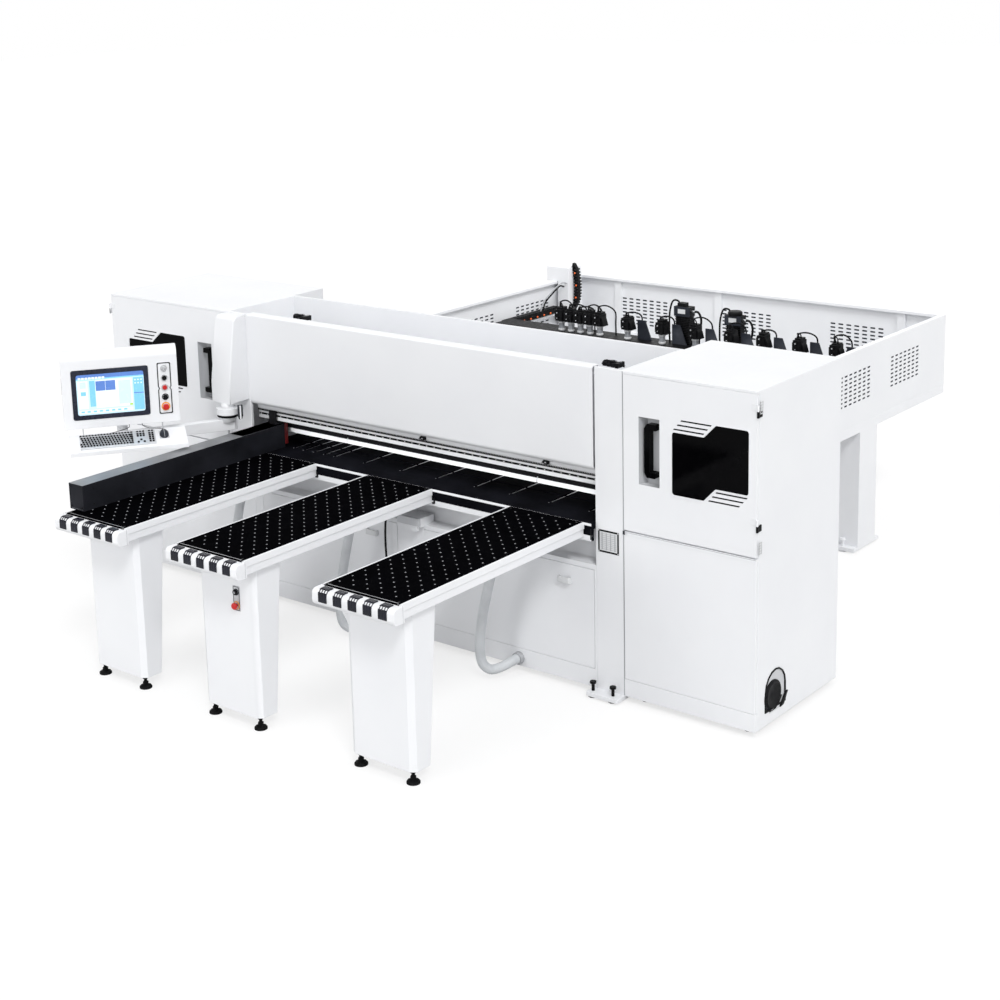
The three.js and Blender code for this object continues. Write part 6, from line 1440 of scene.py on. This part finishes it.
# A key's foot and its smaller top are rectangles that slope with the keyboard.
def keyboardKeys():
    forms = []
    faces = [(3, 2, 1, 0), (4, 5, 6, 7)] + [(k, (k + 1) % 4, 4 + (k + 1) % 4, 4 + k) for k in range(4)]
    for row, y in enumerate(keys["rows"]):
        deep = 5.0 if row == 0 else 7.4
        shiftOfRow = 4.6 * (row % 4)
        for column in range(keys["count"]):
            if column in keys["gaps"] or (row, column) in keys["missing"]:
                continue
            x = keys["left"] + keys["pitch"] * column + (shiftOfRow if column < 17 else 0)
            top = keyboardTop(y)
            u, v = (keyCorners * (keys["size"] / 2, deep)).T
            lean = v * keys["slope"]
            lowest = np.column_stack((x + u, y + v, top - 1.5 + lean))
            highest = np.column_stack((x + u * keys["narrowing"], y + v * keys["narrowing"], top + 4.0 + lean))
            forms.append(shell(np.vstack((lowest, highest)), faces, 0))
    return forms


addPiece("keyboard_keys", "console", keyboardKeys(), ["plastic"], place=consoleRow)
mouse = {"x": 250.0, "middle": -190.0, "half": 29.0, "reach": 49.0, "rise": 26.0}


# The mouse's shell: rows of an ellipse along it, arched over and closed below the tray's top.
def mouseShell(scale, slot, lift=0.0):
    along = np.linspace(-0.985, 0.985, 15)
    across = np.linspace(-8, 188, 15)
    span = np.sqrt(1 - along ** 2)[:, None]
    angles = np.radians(across)[None, :]
    x = mouse["x"] + mouse["half"] * scale * span * np.cos(angles)
    y = mouse["middle"] + mouse["reach"] * along[:, None] + 0 * angles
    z = trayTop(y) + lift + mouse["rise"] * span ** 0.7 * np.sin(angles)
    return gridShell(np.stack((x, y, z), axis=2), slot, capped=True)


# The node's own mouse is pressed flat on the tray, where the shell takes its place.
def mouseShift(places):
    local = toConsole(places)
    high = trayTop(local[:, 1])
    onMouse = within(local[:, 0], 219, 281) & within(local[:, 1], -241.5, -138.5) & (local[:, 2] > high + 0.3)
    local[onMouse, 2] = high[onMouse] + 0.3
    return fromConsole(local)


wheel = mouseShell(0.16, 1, 1.2)
addPiece("mouse_shell", "console", [mouseShell(1.0, 0), wheel], ["slateAndVentShade", "pocket"], place=consoleRow)


# The keyboard and the brackets are told apart by their place and their rise above the tray.
def trayFaces(centres, normals):
    local = toConsole(centres)
    rise = local[:, 2] - trayTop(local[:, 1])
    keyboard = within(local[:, 0], -277.5, 193.5) & within(local[:, 1], -301, -139) & (rise > 0.5)
    mouse = within(local[:, 0], 219.5, 280.5) & within(local[:, 1], -241, -139) & (rise > 0.5)
    bracket = (local[:, 1] > -111) & (rise > 1)
    return np.where(keyboard | mouse, 1, np.where(bracket, 2, 0))


dressed("keyboard_tray", ["white", "silver", "pocket"], trayFaces, 1.0, shift=mouseShift)
controls = (("grey_button", "bright"), ("dark_button", "plastic"), ("red_button", "red"),
            ("selector_switch", "plastic"), ("console_stop_button", "red"))
for node, finish in controls:
    dressed(node, [finish], None, 0.8)
print("console made")

# Floor, world and lamps

room = {"floor": 60.0, "seenTone": 0.95, "litTone": 0.62, "ambient": 0.6, "shadeShare": 0.32}


# The floor shows part of its own shading to the camera and is plain white for the rest.
def makeFloor():
    mesh = bpy.data.meshes.new("floor")
    half = room["floor"]
    corners = [(u, v, 0) for u, v in rectangle((-half, half), (-half, half))]
    mesh.from_pydata(corners, [], [(0, 1, 2, 3)])
    floor = bpy.data.objects.new("floor", mesh)
    bpy.context.scene.collection.objects.link(floor)
    material = bpy.data.materials.new("floorWhite")
    material.use_nodes = True
    tree = material.node_tree
    shader = tree.nodes["Principled BSDF"]
    shader.inputs["Roughness"].default_value = 0.9
    shader.inputs["Specular IOR Level"].default_value = 0.0
    white = addNode(tree, "ShaderNodeEmission")
    path = addNode(tree, "ShaderNodeLightPath")
    seen = addNode(tree, "ShaderNodeMath", operation="MULTIPLY")
    seen.inputs[1].default_value = 1.0 - room["shadeShare"]
    mix = addNode(tree, "ShaderNodeMixShader")
    tone = addNode(tree, "ShaderNodeMapRange")
    tone.inputs["To Min"].default_value = room["litTone"]
    tone.inputs["To Max"].default_value = room["seenTone"]
    tree.links.new(path.outputs["Is Camera Ray"], tone.inputs["Value"])
    tree.links.new(tone.outputs["Result"], shader.inputs["Base Color"])
    tree.links.new(path.outputs["Is Camera Ray"], seen.inputs[0])
    tree.links.new(seen.outputs["Value"], mix.inputs["Fac"])
    tree.links.new(shader.outputs["BSDF"], mix.inputs[1])
    tree.links.new(white.outputs["Emission"], mix.inputs[2])
    tree.links.new(mix.outputs["Shader"], tree.nodes["Material Output"].inputs["Surface"])
    mesh.materials.append(material)


# The world is white to the camera and in gloss and glass, and lights the rest at the ambient level.
def makeWorld():
    world = bpy.data.worlds.new("studio")
    bpy.context.scene.world = world
    world.use_nodes = True
    tree = world.node_tree
    tree.nodes.clear()
    output = addNode(tree, "ShaderNodeOutputWorld")
    light = addNode(tree, "ShaderNodeBackground")
    light.inputs["Color"].default_value = (1.0, 1.0, 1.0, 1.0)
    light.inputs["Strength"].default_value = room["ambient"]
    shown = addNode(tree, "ShaderNodeBackground")
    shown.inputs["Color"].default_value = (1.0, 1.0, 1.0, 1.0)
    shown.inputs["Strength"].default_value = 1.0
    path = addNode(tree, "ShaderNodeLightPath")
    either = addNode(tree, "ShaderNodeMath", operation="MAXIMUM")
    whiteRays = addNode(tree, "ShaderNodeMath", operation="MAXIMUM")
    mix = addNode(tree, "ShaderNodeMixShader")
    tree.links.new(path.outputs["Is Camera Ray"], either.inputs[0])
    tree.links.new(path.outputs["Is Glossy Ray"], either.inputs[1])
    tree.links.new(either.outputs["Value"], whiteRays.inputs[0])
    tree.links.new(path.outputs["Is Transmission Ray"], whiteRays.inputs[1])
    tree.links.new(whiteRays.outputs["Value"], mix.inputs["Fac"])
    tree.links.new(light.outputs["Background"], mix.inputs[1])
    tree.links.new(shown.outputs["Background"], mix.inputs[2])
    tree.links.new(mix.outputs["Shader"], output.inputs["Surface"])


# Soft distant lights: a direction, a strength and a width in degrees.
sunLamps = (
    ("keyLamp", (0.8, -0.6, 1.0), 1.25, 14.0),
    ("topLamp", (0.0, 0.0, 1.0), 0.6, 60.0),
    ("rightLamp", (1.0, 0.1, 0.2), 0.6, 60.0),
    ("frontLamp", (-0.1, -1.0, 0.2), 0.62, 60.0),
)
# The near lamp stands in front of the tables: its place, size and power, and the place that it faces.
nearLamp = {"place": (-1.6, -9.4, 3.4), "size": 3.2, "power": 60.0, "facing": (-0.3, -1.4, 0.8)}
# The well lamp hangs over the rear table and lights the guards' inner sides.
wellLamp = {"place": (-0.05, 1.4, 3.3), "size": 2.6, "power": 24.0, "facing": (-0.05, 3.07, 1.2)}
# The rail lamp is a long strip before the beam that lights the rail and the pressure beam below the cover.
railLamp = {"place": (0.16, -1.56, 1.12), "size": 2.6, "height": 0.06, "shape": "RECTANGLE", "power": 2.2,
            "facing": (0.16, -1.17, 1.15), "spread": 64.0}


# A lamp's own z axis points back along its light.
def makeLamps():
    for name, direction, strength, width in sunLamps:
        data = bpy.data.lights.new(name, "SUN")
        data.energy = strength
        data.angle = math.radians(width)
        lamp = bpy.data.objects.new(name, data)
        lamp.rotation_euler = Vector(direction).to_track_quat("Z", "Y").to_euler()
        bpy.context.scene.collection.objects.link(lamp)
    for name, values in (("nearLamp", nearLamp), ("wellLamp", wellLamp), ("railLamp", railLamp)):
        data = bpy.data.lights.new(name, "AREA")
        data.shape = values.get("shape", "DISK")
        data.size = values["size"]
        data.size_y = values.get("height", values["size"])
        data.energy = values["power"]
        lamp = bpy.data.objects.new(name, data)
        lamp.location = values["place"]
        lamp.visible_camera = False
        lamp.visible_glossy = values is not railLamp
        data.spread = math.radians(values.get("spread", 180.0))
        away = Vector(values["place"]) - Vector(values["facing"])
        lamp.rotation_euler = away.to_track_quat("Z", "Y").to_euler()
        bpy.context.scene.collection.objects.link(lamp)


makeFloor()
makeWorld()
makeLamps()
bpy.context.scene.view_settings.view_transform = "Standard"
print("room lit")
